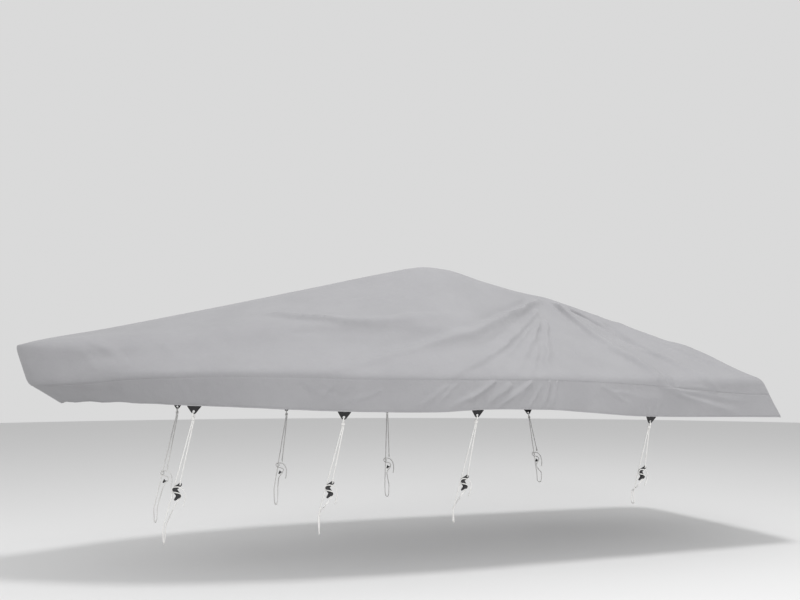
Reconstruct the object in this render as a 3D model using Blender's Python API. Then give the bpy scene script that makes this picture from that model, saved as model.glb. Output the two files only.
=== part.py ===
"""Fitted cover for a runabout on its trailer, with its tie-down ropes. Metres, +Z up.

The cover is described in the boat's frame: x runs aft from the tip of the bow, y is
measured from the centreline out to either side, z is the height above the ground.
Everything is then shifted so that the point which rests on the boat is the origin.
"""
import math
from collections import namedtuple

import bmesh
import bpy
import numpy as np
from mathutils import Matrix, Vector

# ---- driving dimensions ---------------------------------------------------------------
REST_POINT = (3.77, 0.0, 2.773)      # underside of the cloth on top of the windshield
CLOTH = 0.002                        # thickness of the coated polyester
SEAM_GAP = 0.0005                    # clearance where two sewn panels meet
SKIRT_DEPTH = 0.25                   # least depth of the skirt, seam to hem
RIDGE_ROUND = 0.10                   # half width of the rounded crest
POLE_ROUND = 0.05                    # radius of the cap over the aft support pole
POLE_TAPER = 0.5                     # length over which the crest narrows to the pole
RAIL_ROUND = 0.09                    # rounding over the bow rail and windshield frame
EDGE_ROUND = 0.055                   # rounding over the gunwale
SAG_OFF_CENTRE = 0.2                 # the sag draws in sideways only this far off centre
ROPE = 0.010                         # rope diameter
SEAT = 0.0004                        # clearance between pieces that touch
PORT, STARBOARD = -1, 1

# ---- the crest of the cover, bow to aft support pole -----------------------------------
CrestPoint = namedtuple("CrestPoint", "x z")
CREST = [CrestPoint(*row) for row in (
    (0.06, 1.940),
    (0.16, 1.971),
    (0.69, 2.081),
    (1.58, 2.282),
    (2.54, 2.508),
    (3.40, 2.712),
    (3.62, 2.759),
    (3.77, 2.777),
    (3.97, 2.764),
    (4.42, 2.652),
    (4.79, 2.568),
    (5.11, 2.520),
)]

# ---- one row for each section, from the stem round the near side to the transom --------
# crest_x: where it starts on the crest; rail: the shoulder over the bow rail, windshield
# frame or nothing; edge: the gunwale; hem: the bottom edge; seam_drop: how far below the
# gunwale the skirt is sewn on; sag: how far the cloth hangs in between rail and edge,
# or bulges out where it is negative.
Section = namedtuple("Section", "crest_x rail_x rail_y rail_z edge_x edge_y edge_z "
                     "hem_x hem_y hem_z seam_drop sag")
SECTIONS = [Section(*row) for row in (
    (0.06, -0.010, 0.000, 1.924, 0.100, 0.000, 1.604, 0.380, 0.000, 1.437, 0.040, 0.000),
    (0.12, 0.020, 0.120, 1.932, 0.145, 0.130, 1.607, 0.405, 0.075, 1.441, 0.040, 0.000),
    (0.25, 0.140, 0.250, 1.948, 0.280, 0.270, 1.614, 0.500, 0.170, 1.446, 0.040, 0.004),
    (0.50, 0.410, 0.370, 1.965, 0.530, 0.440, 1.632, 0.700, 0.315, 1.447, 0.040, 0.008),
    (0.87, 0.810, 0.480, 1.985, 0.880, 0.665, 1.668, 1.000, 0.520, 1.436, 0.040, 0.012),
    (1.28, 1.260, 0.560, 2.020, 1.280, 0.865, 1.690, 1.370, 0.735, 1.421, 0.040, 0.014),
    (1.75, 1.730, 0.640, 2.095, 1.750, 1.030, 1.704, 1.800, 0.925, 1.404, 0.042, 0.020),
    (2.25, 2.240, 0.730, 2.175, 2.250, 1.145, 1.704, 2.280, 1.075, 1.382, 0.048, 0.032),
    (2.80, 2.800, 0.800, 2.200, 2.800, 1.222, 1.686, 2.800, 1.185, 1.364, 0.044, 0.042),
    (3.35, 3.380, 0.880, 2.195, 3.380, 1.250, 1.677, 3.380, 1.238, 1.356, 0.036, 0.045),
    (3.80, 3.870, 0.880, 2.165, 3.900, 1.255, 1.675, 3.920, 1.248, 1.376, 0.036, 0.030),
    (4.25, 4.320, 0.780, 2.110, 4.430, 1.250, 1.672, 4.480, 1.243, 1.366, 0.038, 0.012),
    (4.68, 4.780, 0.680, 2.080, 4.880, 1.242, 1.666, 4.930, 1.237, 1.334, 0.044, 0.006),
    (5.11, 5.260, 0.630, 2.060, 5.400, 1.230, 1.655, 5.470, 1.226, 1.295, 0.060, 0.006),
    (5.11, 5.530, 0.630, 2.050, 5.950, 1.215, 1.642, 6.010, 1.211, 1.281, 0.084, 0.010),
    (5.11, 5.780, 0.620, 2.065, 6.450, 1.195, 1.638, 6.500, 1.196, 1.274, 0.122, -0.004),
    (5.11, 5.970, 0.600, 2.092, 6.830, 1.178, 1.640, 6.950, 1.188, 1.266, 0.150, -0.022),
    (5.11, 6.040, 0.570, 2.112, 6.965, 1.140, 1.642, 7.135, 1.175, 1.262, 0.160, -0.034),
    (5.11, 6.070, 0.525, 2.090, 7.030, 1.050, 1.642, 7.215, 1.115, 1.260, 0.165, -0.026),
    (5.11, 6.090, 0.375, 2.060, 7.065, 0.750, 1.640, 7.260, 0.860, 1.259, 0.165, -0.004),
    (5.11, 6.100, 0.185, 2.050, 7.080, 0.370, 1.639, 7.275, 0.430, 1.258, 0.165, 0.012),
    (5.11, 6.100, 0.000, 2.045, 7.085, 0.000, 1.638, 7.280, 0.000, 1.258, 0.165, 0.020),
)]
POLE_SECTION = 13                    # the first row that starts at the pole
LAST_SIDE_SECTION = 16               # the last row on the side
CORNER_SECTION = 17                  # the row on the corner of the transom

# ---- the main folds --------------------------------------------------------------------
# Each runs between two points of one side, given by x and z as seen from abeam, and bows
# sideways by "bow". It is "width" wide, half of that where it starts, and "depth" deep; a
# negative depth stands out as a ridge.
Fold = namedtuple("Fold", "x0 z0 x1 z1 bow width depth")
PORT_FOLDS = [Fold(*row) for row in (
    (5.05, 2.49, 2.66, 1.76, -0.06, 0.090, 0.030),
    (4.88, 2.47, 2.80, 1.84, -0.04, 0.085, -0.020),
    (4.88, 2.33, 3.52, 1.65, 0.00, 0.065, 0.018),
    (4.87, 2.37, 3.79, 1.85, 0.01, 0.055, -0.010),
    (4.86, 2.26, 4.08, 1.65, 0.00, 0.055, 0.014),
    (4.87, 2.28, 4.40, 1.67, 0.01, 0.045, -0.012),
    (4.92, 2.24, 4.47, 1.66, 0.01, 0.050, 0.012),
    (5.15, 2.46, 5.69, 1.59, -0.05, 0.080, 0.022),
    (5.62, 2.23, 5.95, 1.78, 0.00, 0.070, -0.020),
    (5.40, 2.31, 6.41, 1.59, 0.00, 0.070, 0.014),
    (5.72, 1.57, 6.64, 1.29, 0.02, 0.060, 0.010),
    (4.32, 1.61, 4.05, 1.40, 0.00, 0.050, 0.012),
    (4.12, 1.61, 3.84, 1.41, 0.00, 0.050, 0.012),
    (3.94, 1.61, 3.63, 1.41, 0.00, 0.050, 0.010),
    (0.64, 1.99, 0.82, 1.81, 0.00, 0.055, 0.006),
)]
STARBOARD_FOLDS = [Fold(*row) for row in (
    (5.03, 2.48, 2.95, 1.84, -0.05, 0.090, 0.026),
    (4.90, 2.40, 3.55, 1.80, 0.02, 0.075, -0.018),
    (4.90, 2.32, 3.95, 1.68, 0.02, 0.055, 0.014),
    (4.93, 2.26, 4.62, 1.67, 0.00, 0.050, 0.012),
    (5.18, 2.42, 5.85, 1.66, 0.04, 0.080, 0.026),
    (5.50, 2.25, 6.20, 1.70, 0.02, 0.075, -0.014),
    (4.20, 1.61, 3.95, 1.40, 0.00, 0.050, 0.010),
    (5.30, 1.60, 5.62, 1.33, 0.00, 0.060, 0.010),
    (0.70, 1.98, 0.95, 1.78, 0.00, 0.055, 0.006),
)]

# ---- mesh density ----------------------------------------------------------------------
# Stretches of the gunwale, each up to a row of SECTIONS, with its number of columns.
Stretch = namedtuple("Stretch", "to_section columns")
STRETCHES = [Stretch(*row) for row in ((3, 4), (8, 9), (12, 12), (16, 15), (19, 6), (21, 2))]
# Height on a section: 0 crest, 1 end of its rounding, 2-3 rail rounding, 4-5 edge rounding,
# 6 seam, 7 hem.
TOP_ROWS = (0.0, 0.6, 1.0, 1.5, 2.0, 2.5, 3.0, 3.33, 3.67, 4.0, 4.5, 5.0, 6.0)
SKIRT_ROWS = (6.0, 6.5, 7.0)

# ---- ties ------------------------------------------------------------------------------
# tab_x: its place on the hem; rail: the trailer rail that the rope goes round, which is
# left out; tensioner_z: the height of the rope tensioner.
TieRow = namedtuple("TieRow", "tab_x rail_x rail_y rail_top rail_bottom tensioner_z")
TIES = [TieRow(*row) for row in (
    (1.430, 1.217, 0.600, 0.415, 0.285, 0.713),
    (2.613, 2.450, 0.950, 0.515, 0.350, 0.722),
    (3.788, 3.674, 0.950, 0.495, 0.380, 0.737),
    (5.583, 5.549, 0.950, 0.560, 0.462, 0.754),
)]
RAIL_WIDTH = 0.050
RAIL_CLEAR = 0.002                   # the rope passes this far from the rail
TAB_WIDTH = 0.115
TAB_TIP_WIDTH = 0.044
TAB_DROP = 0.066
TAB_CHAMFER = 0.010                  # the cut-off corners of the tip
TAB_THICKNESS = 0.003
TAB_LEAN = 0.2                       # share of the rope's forward slant that a tab takes
EYE_RADIUS = 0.0105                  # hole in the tab for the rope's bight
EYE_ABOVE_TIP = 0.019
EYE_SIDES = 12
BIGHT_RADIUS = 0.017                 # the rope ring through the tab
STRAND_SPREAD = 0.0058               # half the distance between the strands at the knot
PLATE = 0.008                        # tensioner plate thickness
PLATE_AFT = 0.034                    # the plate's middle lies this far aft of the long strand
PLATE_CLEAR = 0.004                  # and this far outboard of it
BOLLARD_RADIUS = 0.0145
BOLLARD_HEIGHT = 0.013
RingOfKnot = namedtuple("RingOfKnot", "drop radius")
KNOT_PROFILE = [RingOfKnot(*row) for row in (
    (0.000, 0.0090), (0.010, 0.0180), (0.024, 0.0160), (0.036, 0.0125))]
# The tensioner's S-shaped plate: round lobes joined by bars, seen from outboard, with a
# bollard on each of the two middle lobes.
Lobe = namedtuple("Lobe", "x z radius")
LOBES = [Lobe(*row) for row in (
    (0.020, 0.058, 0.0150),
    (-0.026, 0.022, 0.0190),
    (0.012, -0.034, 0.0190),
    (-0.016, -0.066, 0.0090),
)]
EYE_LOBE, HIGH_LOBE, LOW_LOBE = LOBES[:3]
# The long strand's way round the rail: down its outer face, under it and up its inner face.
# Each row is x from the tie's rail_x, the face of the rail and the distance out from it,
# and the end of the rail's height and the distance up from it.
OUTER, INNER, TOP, BOTTOM = "outer", "inner", "top", "bottom"
RailRow = namedtuple("RailRow", "x face out level up")
RAIL_TURN = [RailRow(*row) for row in (
    (0.003, OUTER, 0.000, BOTTOM, 0.050),
    (0.005, OUTER, 0.000, BOTTOM, 0.022),
    (0.008, OUTER, -0.006, BOTTOM, 0.006),
    (0.011, OUTER, -0.022, BOTTOM, 0.000),
    (0.015, INNER, 0.022, BOTTOM, 0.000),
    (0.018, INNER, 0.006, BOTTOM, 0.006),
    (0.021, INNER, 0.000, BOTTOM, 0.022),
    (0.025, INNER, 0.000, TOP, -0.020),
    (0.026, INNER, 0.003, TOP, 0.008),
)]
# Its way on the tensioner, in the tensioner's own frame (x aft, z up along the tie): it
# comes up from the rail, bends round both bollards, and its free end hangs.
BOLLARD_TURN = BOLLARD_RADIUS + ROPE / 2 + 0.0009
RISE = ((-0.024, -0.125), (-0.004, -0.088))
LOW_TURN_DEGREES = (-35, -9, 17, 43, 70)
HIGH_TURN_DEGREES = (250, 223, 196, 169, 142, 115, 88)
FREE_END = ((0.006, 0.041), (0.034, 0.030), (0.055, 0.002), (0.064, -0.036), (0.061, -0.082),
            (0.050, -0.125))


# ---- the shape of the cover ------------------------------------------------------------
def column(name):
    """One named column of the section table."""
    return np.array([getattr(section, name) for section in SECTIONS])


def monotone(knots, values, at):
    """Smooth curve through the table's values that never overshoots them (PCHIP)."""
    gap = np.diff(knots)
    slope = np.diff(values) / gap
    tangent = np.empty(len(knots))
    tangent[0], tangent[-1] = slope[0], slope[-1]
    before, after = slope[:-1], slope[1:]
    same_way = before * after > 0
    total = np.where(same_way, before + after, 1.0)
    tangent[1:-1] = np.where(same_way, 2.0 * before * after / total, 0.0)
    cell = np.clip(np.searchsorted(knots, at, side="right") - 1, 0, len(gap) - 1)
    t = (at - knots[cell]) / gap[cell]
    rise = values[cell + 1] - values[cell]
    entry = tangent[cell] * gap[cell]
    leave = tangent[cell + 1] * gap[cell]
    return values[cell] + t * entry + t * t * (3 * rise - 2 * entry - leave) \
        + t ** 3 * (entry + leave - 2 * rise)


def girth_of_sections():
    """Distance of each section from the stem, measured along the gunwale."""
    steps = np.hypot(np.diff(column("edge_x")), np.diff(column("edge_y")))
    return np.concatenate(([0.0], np.cumsum(steps)))


GIRTH = girth_of_sections()
HALF_GIRTH = GIRTH[-1]
GIRTH_AT_POLE = GIRTH[POLE_SECTION]


def read(name, girth):
    """A section value at any distance along the gunwale, even about both ends."""
    values = column(name)
    flip = -1.0 if name.endswith("_y") else 1.0
    knots = np.array((-GIRTH[1], *GIRTH, 2 * HALF_GIRTH - GIRTH[-2]))
    mirrored = np.array((flip * values[1], *values, flip * values[-2]))
    return monotone(knots, mirrored, girth)


def point_of(name, girth):
    """A named point of the sections, as an array of positions."""
    return np.stack([read(name + axis, girth) for axis in ("_x", "_y", "_z")], axis=-1)


def crest_height(x):
    """Height of the crest at x, level ahead of its first point."""
    knots = np.array([point.x for point in CREST])
    heights = np.array([point.z for point in CREST])
    return monotone(knots, heights, np.maximum(x, CREST[0].x))


def toward(start, end, length, most=0.45):
    """The point a given length from start towards end, at most a share of the way."""
    span = end - start
    distance = np.linalg.norm(span, axis=-1, keepdims=True)
    share = np.minimum(length / np.maximum(distance, 1e-9), most)
    return start + span * share


def rounded(before, corner, after, t):
    """A quadratic curve that cuts a corner."""
    return (1 - t) ** 2 * before + 2 * (1 - t) * t * corner + t * t * after


def smooth_shape(girth, height):
    """The cover without folds: girth from the stem, height 0 at the crest to 7 at the hem."""
    crest_x = read("crest_x", girth)
    crest = np.stack((crest_x, np.zeros_like(crest_x), crest_height(crest_x)), axis=-1)
    slope = (crest_height(crest_x) - crest_height(crest_x - 0.02)) / 0.02
    rail = point_of("rail", girth)
    edge = point_of("edge", girth)
    hem = point_of("hem", girth)
    out = rail - crest
    level = np.maximum(np.hypot(out[..., 0], out[..., 1]), 1e-6)
    near_pole = np.clip(1.0 - (CREST[-1].x - crest_x) / POLE_TAPER, 0.0, 1.0)
    crown = np.minimum(RIDGE_ROUND + (POLE_ROUND - RIDGE_ROUND) * near_pole, 0.4 * level)
    knee = crest.copy()
    knee[..., 0] += out[..., 0] / level * crown
    knee[..., 1] += out[..., 1] / level * crown
    knee[..., 2] += slope * out[..., 0] / level * crown
    seam = toward(edge, hem, read("seam_drop", girth)[..., None], 0.6)
    crown_end = toward(knee, rail, crown[..., None])
    rail_start = toward(rail, knee, RAIL_ROUND)
    rail_end = toward(rail, edge, RAIL_ROUND)
    edge_start = toward(edge, rail, EDGE_ROUND)
    edge_end = toward(edge, seam, EDGE_ROUND, 0.8)
    stretches = (
        lambda t: rounded(crest, knee, crown_end, t),
        lambda t: crown_end + (rail_start - crown_end) * t,
        lambda t: rounded(rail_start, rail, rail_end, t),
        lambda t: rail_end + (edge_start - rail_end) * t,
        lambda t: rounded(edge_start, edge, edge_end, t),
        lambda t: edge_end + (seam - edge_end) * t,
        lambda t: seam + (hem - seam) * t,
    )
    shape = np.zeros(crest.shape)
    for number, stretch in enumerate(stretches):
        t = (height - number)[..., None]
        inside = (t >= 0) & (t <= 1)
        shape = np.where(inside, stretch(np.clip(t, 0, 1)), shape)
    # the cloth hangs in between the rail and the gunwale, most 0.4 of the way down
    t = np.clip(height - 3, 0, 1)
    hollow = read("sag", girth) * t ** 2 * (1 - t) ** 3 / (0.4 ** 2 * 0.6 ** 3)
    fall = edge - rail
    drop = np.maximum(np.hypot(fall[..., 1], fall[..., 2]), 1e-9)
    off_centre = np.clip(shape[..., 1] / SAG_OFF_CENTRE, 0.0, 1.0)
    shape[..., 1] += off_centre * hollow * fall[..., 2] / drop
    shape[..., 2] -= hollow * fall[..., 1] / drop
    return shape


def wrapped(around):
    """The same place between the stern centre on the port side and on the starboard side."""
    return (around + HALF_GIRTH) % (2 * HALF_GIRTH) - HALF_GIRTH


def at_side(around, height):
    """The smooth shape at a signed distance around: port is negative, starboard positive."""
    around = wrapped(around)
    shape = smooth_shape(np.abs(around), height)
    shape[..., 1] *= np.where(around < 0, -1.0, 1.0)
    return shape


def normal_of(surface, around, height):
    """Outward unit normal of a surface function of around and height."""
    below_crest = np.maximum(height, 0.08)
    along = surface(around + 0.01, below_crest) - surface(around - 0.01, below_crest)
    down = surface(around, np.minimum(height + 0.04, 7.0))
    down = down - surface(around, np.maximum(height - 0.04, 0.0))
    normal = np.cross(down, along)
    normal[..., 1] = np.where(height == 0, 0.0, normal[..., 1])
    return normal / np.linalg.norm(normal, axis=-1, keepdims=True)


class Folds:
    """The folds of one side, as lines lying on the smooth shape."""

    def __init__(self, side, rows):
        self.side = side
        girth, height = np.meshgrid(np.linspace(0.0, HALF_GIRTH, 260), np.linspace(0.3, 7.0, 110))
        skin = smooth_shape(girth, height)
        self.lines = [(self.laid_on(skin, fold), fold) for fold in rows]

    def laid_on(self, skin, fold, points=9):
        """The fold's centreline as points on the smooth shape."""
        along = np.array((fold.x1 - fold.x0, fold.z1 - fold.z0))
        across = np.array((along[1], -along[0])) / np.hypot(*along)
        line = []
        for share in np.linspace(0.0, 1.0, points):
            swing = across * math.sin(math.pi * share) * fold.bow
            line.append(self.nearest(skin, fold.x0 + along[0] * share + swing[0],
                                     fold.z0 + along[1] * share + swing[1]))
        return np.array(line)

    def nearest(self, skin, x, z):
        """The point of this side that shows at x and z from abeam."""
        miss = (skin[..., 0] - x) ** 2 + (skin[..., 2] - z) ** 2
        found = skin[np.unravel_index(np.argmin(miss), miss.shape)].copy()
        found[1] *= self.side
        return found

    def lift(self, points):
        """How far each point is pushed out (positive) or drawn in by the folds."""
        total = np.zeros(points.shape[:-1])
        for line, fold in self.lines:
            nearest = np.full(total.shape, 1e9)
            place = np.zeros(total.shape)
            for number in range(len(line) - 1):
                start, span = line[number], line[number + 1] - line[number]
                t = np.clip(((points - start) @ span) / (span @ span), 0.0, 1.0)
                distance = np.linalg.norm(points - start - t[..., None] * span, axis=-1)
                closer = distance < nearest
                nearest = np.where(closer, distance, nearest)
                place = np.where(closer, (number + t) / (len(line) - 1), place)
            spread = fold.width * (0.5 + 0.5 * place)
            fade = np.clip(np.minimum(place / 0.15, (1 - place) / 0.3), 0.0, 1.0)
            total -= fold.depth * fade * np.exp(-(nearest / spread) ** 2)
        return total


FOLDS_OF = {PORT: Folds(PORT, PORT_FOLDS), STARBOARD: Folds(STARBOARD, STARBOARD_FOLDS)}


def cover(around, height):
    """The folded shape at a signed distance around and a height on the section."""
    smooth = at_side(around, height)
    place = wrapped(around)
    lift = np.where(place < 0, FOLDS_OF[PORT].lift(smooth), FOLDS_OF[STARBOARD].lift(smooth))
    from_ends = np.minimum(np.abs(place), HALF_GIRTH - np.abs(place))
    quiet = np.clip(height, 0.0, 1.0) * np.clip(from_ends / 0.15, 0.0, 1.0)
    return smooth + normal_of(at_side, around, height) * (lift * quiet)[..., None]


def girth_at_hem(x):
    """The distance around at which the hem of one side has this x."""
    girth = np.linspace(0.0, GIRTH[LAST_SIDE_SECTION], 4000)
    return float(np.interp(x, read("hem_x", girth), girth))


def columns_of_one_side():
    """Distances from the stem where the mesh has its columns, with one at each tab edge."""
    stops = [0.0]
    first = 0
    for stretch in STRETCHES:
        ends = GIRTH[first], GIRTH[stretch.to_section]
        stops.extend(np.linspace(*ends, stretch.columns + 1)[1:])
        first = stretch.to_section
    wanted = [girth_at_hem(tie.tab_x + share * TAB_WIDTH)
              for tie in TIES for share in (-0.5, 0.0, 0.5)]
    kept = [stop for stop in stops if min(abs(stop - other) for other in wanted) > 0.03]
    return np.array(sorted(kept + wanted))


def shifted(position):
    """From the boat's frame to the part's own."""
    return Vector(position) - Vector(REST_POINT)


# ---- making objects --------------------------------------------------------------------
def material(name, colour, roughness):
    surface = bpy.data.materials.new(name)
    surface.use_nodes = True
    shader = surface.node_tree.nodes["Principled BSDF"]
    shader.inputs["Base Color"].default_value = (*colour, 1.0)
    shader.inputs["Roughness"].default_value = roughness
    shader.inputs["Metallic"].default_value = 0.0
    surface.diffuse_color = (*colour, 1.0)
    return surface


def add_object(name, data, surface):
    made = bpy.data.objects.new(name, data)
    made.data.materials.clear()
    made.data.materials.append(surface)
    bpy.context.scene.collection.objects.link(made)
    return made


def finished(work, name):
    """The mesh of a bmesh, with outward normals and smooth shading."""
    bmesh.ops.recalc_face_normals(work, faces=work.faces)
    mesh = bpy.data.meshes.new(name)
    work.to_mesh(mesh)
    work.free()
    mesh.shade_smooth()
    mesh.set_sharp_from_angle(angle=math.radians(40))
    return mesh


# ---- cloth -----------------------------------------------------------------------------
def two_triangles(corners, points):
    """A cell as triangles, cut along its shorter diagonal; a cell may have a shared corner."""
    if len(set(corners)) == 3:
        return [tuple(dict.fromkeys(corners))]
    a, b, c, d = corners
    if np.linalg.norm(points[a] - points[c]) <= np.linalg.norm(points[b] - points[d]):
        return [(a, b, c), (a, c, d)]
    return [(a, b, d), (b, c, d)]


def sheet_mesh(name, around, rows, side=0):
    """A closed sheet over columns and rows of the cover, CLOTH thick inward.

    A sheet of one side stops half a seam gap short of the centreline. All columns aft of
    the pole share its top.
    """
    grid_around, grid_height = np.meshgrid(around, rows, indexing="ij")
    outer = cover(grid_around, grid_height)
    inner = outer - normal_of(cover, grid_around, grid_height) * CLOTH
    if side:
        for skin in (outer, inner):
            skin[..., 1] = side * np.maximum(side * skin[..., 1], SEAM_GAP / 2)
    points, insides, number_of = [], [], {}
    for i, place in enumerate(around):
        for j, height in enumerate(rows):
            at_top = height == 0 and abs(place) >= GIRTH_AT_POLE
            key = "pole top" if at_top else (i, j)
            if key not in number_of:
                number_of[key] = len(points)
                points.append(outer[i, j])
                insides.append(inner[i, j])
            number_of[i, j] = number_of[key]
    skin = []
    for i in range(len(around) - 1):
        for j in range(len(rows) - 1):
            cell = (i, j), (i + 1, j), (i + 1, j + 1), (i, j + 1)
            skin += two_triangles([number_of[key] for key in cell], points)
    directed = [pair for face in skin for pair in zip(face, face[1:] + face[:1])]
    has = set(directed)
    rim = [(a, b) for a, b in directed if (b, a) not in has]
    count = len(points)
    faces = skin + [tuple(number + count for number in reversed(face)) for face in skin]
    faces += [(b, a, a + count, b + count) for a, b in rim]
    work = bmesh.new()
    corners = [work.verts.new(shifted(place)) for place in points + insides]
    for face in faces:
        work.faces.new([corners[number] for number in face])
    return finished(work, name)


def make_cloth(surface):
    """The two top panels, sewn together along the crest, and the three lengths of skirt."""
    one_side = columns_of_one_side()
    corner = GIRTH[CORNER_SECTION]
    top_rows = np.array(TOP_ROWS)
    skirt_rows = np.array(SKIRT_ROWS)
    skirt_rows[0] += SEAM_GAP / SKIRT_DEPTH
    along_side = np.append(one_side[one_side < corner], corner - SEAM_GAP)
    for side, label in ((PORT, "port"), (STARBOARD, "starboard")):
        top = sheet_mesh("top", np.sort(side * one_side), top_rows, side)
        add_object("top_" + label, top, surface)
        skirt = sheet_mesh("skirt", np.sort(side * along_side), skirt_rows, side)
        add_object("skirt_" + label, skirt, surface)
    half_stern = np.append(corner + SEAM_GAP, one_side[one_side > corner + SEAM_GAP])
    stern = np.concatenate((half_stern, 2 * HALF_GIRTH - half_stern[-2::-1]))
    add_object("skirt_transom", sheet_mesh("skirt", stern, skirt_rows), surface)


# ---- tie hardware ----------------------------------------------------------------------
def turned_mesh(name, profile, sides):
    """A closed turned solid on the z axis, from rings given by their drop and radius."""
    work = bmesh.new()
    rings = []
    for row in profile:
        spokes = [2 * math.pi * k / sides for k in range(sides)]
        rings.append([work.verts.new((row.radius * math.cos(spoke),
                                      row.radius * math.sin(spoke), -row.drop))
                      for spoke in spokes])
    for upper, lower in zip(rings, rings[1:]):
        for k in range(sides):
            after = (k + 1) % sides
            work.faces.new((upper[k], lower[k], lower[after], upper[after]))
    work.faces.new(rings[0])
    work.faces.new(rings[-1])
    return finished(work, name)


def ring_mesh(name, radius, thickness, turns=10, sides=6):
    """A rope ring in the plane y-z around the origin, with a corner line straight up."""
    work = bmesh.new()
    rings = []
    for k in range(turns):
        angle = 2 * math.pi * k / turns
        outward = Vector((0.0, math.sin(angle), math.cos(angle)))
        ring = []
        for n in range(sides):
            turn = 2 * math.pi * n / sides
            spot = outward * (radius + math.cos(turn) * thickness)
            spot.x = math.sin(turn) * thickness
            ring.append(work.verts.new(spot))
        rings.append(ring)
    for k in range(turns):
        here, following = rings[k], rings[(k + 1) % turns]
        for n in range(sides):
            after = (n + 1) % sides
            work.faces.new((here[n], here[after], following[after], following[n]))
    return finished(work, name)


def united(name, meshes):
    """One mesh that is the exact union of several closed ones."""
    base = bpy.data.objects.new(name, meshes[0])
    bpy.context.scene.collection.objects.link(base)
    helpers = []
    for mesh in meshes[1:]:
        helper = bpy.data.objects.new(name + "_helper", mesh)
        bpy.context.scene.collection.objects.link(helper)
        union = base.modifiers.new("union", "BOOLEAN")
        union.operation = "UNION"
        union.solver = "EXACT"
        union.object = helper
        helpers.append(helper)
    bpy.context.view_layer.update()
    view = bpy.context.evaluated_depsgraph_get()
    result = bpy.data.meshes.new_from_object(base.evaluated_get(view))
    for extra in (base, *helpers):
        bpy.data.objects.remove(extra, do_unlink=True)
    work = bmesh.new()
    work.from_mesh(result)
    bmesh.ops.dissolve_limit(work, angle_limit=math.radians(1), verts=work.verts, edges=work.edges)
    return finished(work, name)


def hull_mesh(name, spots):
    """The convex hull of some points."""
    work = bmesh.new()
    bmesh.ops.convex_hull(work, input=[work.verts.new(spot) for spot in spots])
    loose = [vertex for vertex in work.verts if not vertex.link_faces]
    bmesh.ops.delete(work, geom=loose, context="VERTS")
    return finished(work, name)


def disc(lobe, radius, low, high, offset, sides=10):
    """The corners of a disc round a lobe's middle, between two values of y."""
    return [(lobe.x + radius * math.cos(2 * math.pi * (k + offset) / sides), y,
             lobe.z + radius * math.sin(2 * math.pi * (k + offset) / sides))
            for k in range(sides) for y in (low, high)]


def plate_mesh(side):
    """The tensioner: an S-shaped plate of round lobes with two bollards on its outer face."""
    half = PLATE / 2
    pieces = []
    for number, (upper, lower) in enumerate(zip(LOBES, LOBES[1:])):
        offset = 0.5 * number
        bar = disc(upper, upper.radius, -half, half, offset)
        bar += disc(lower, lower.radius, -half, half, offset)
        pieces.append(hull_mesh("bar", bar))
    for lobe in (HIGH_LOBE, LOW_LOBE):
        bollard = disc(lobe, BOLLARD_RADIUS, 0.0, side * (half + BOLLARD_HEIGHT), 0.25)
        pieces.append(hull_mesh("bollard", bollard))
    return united("tensioner", pieces)


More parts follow.
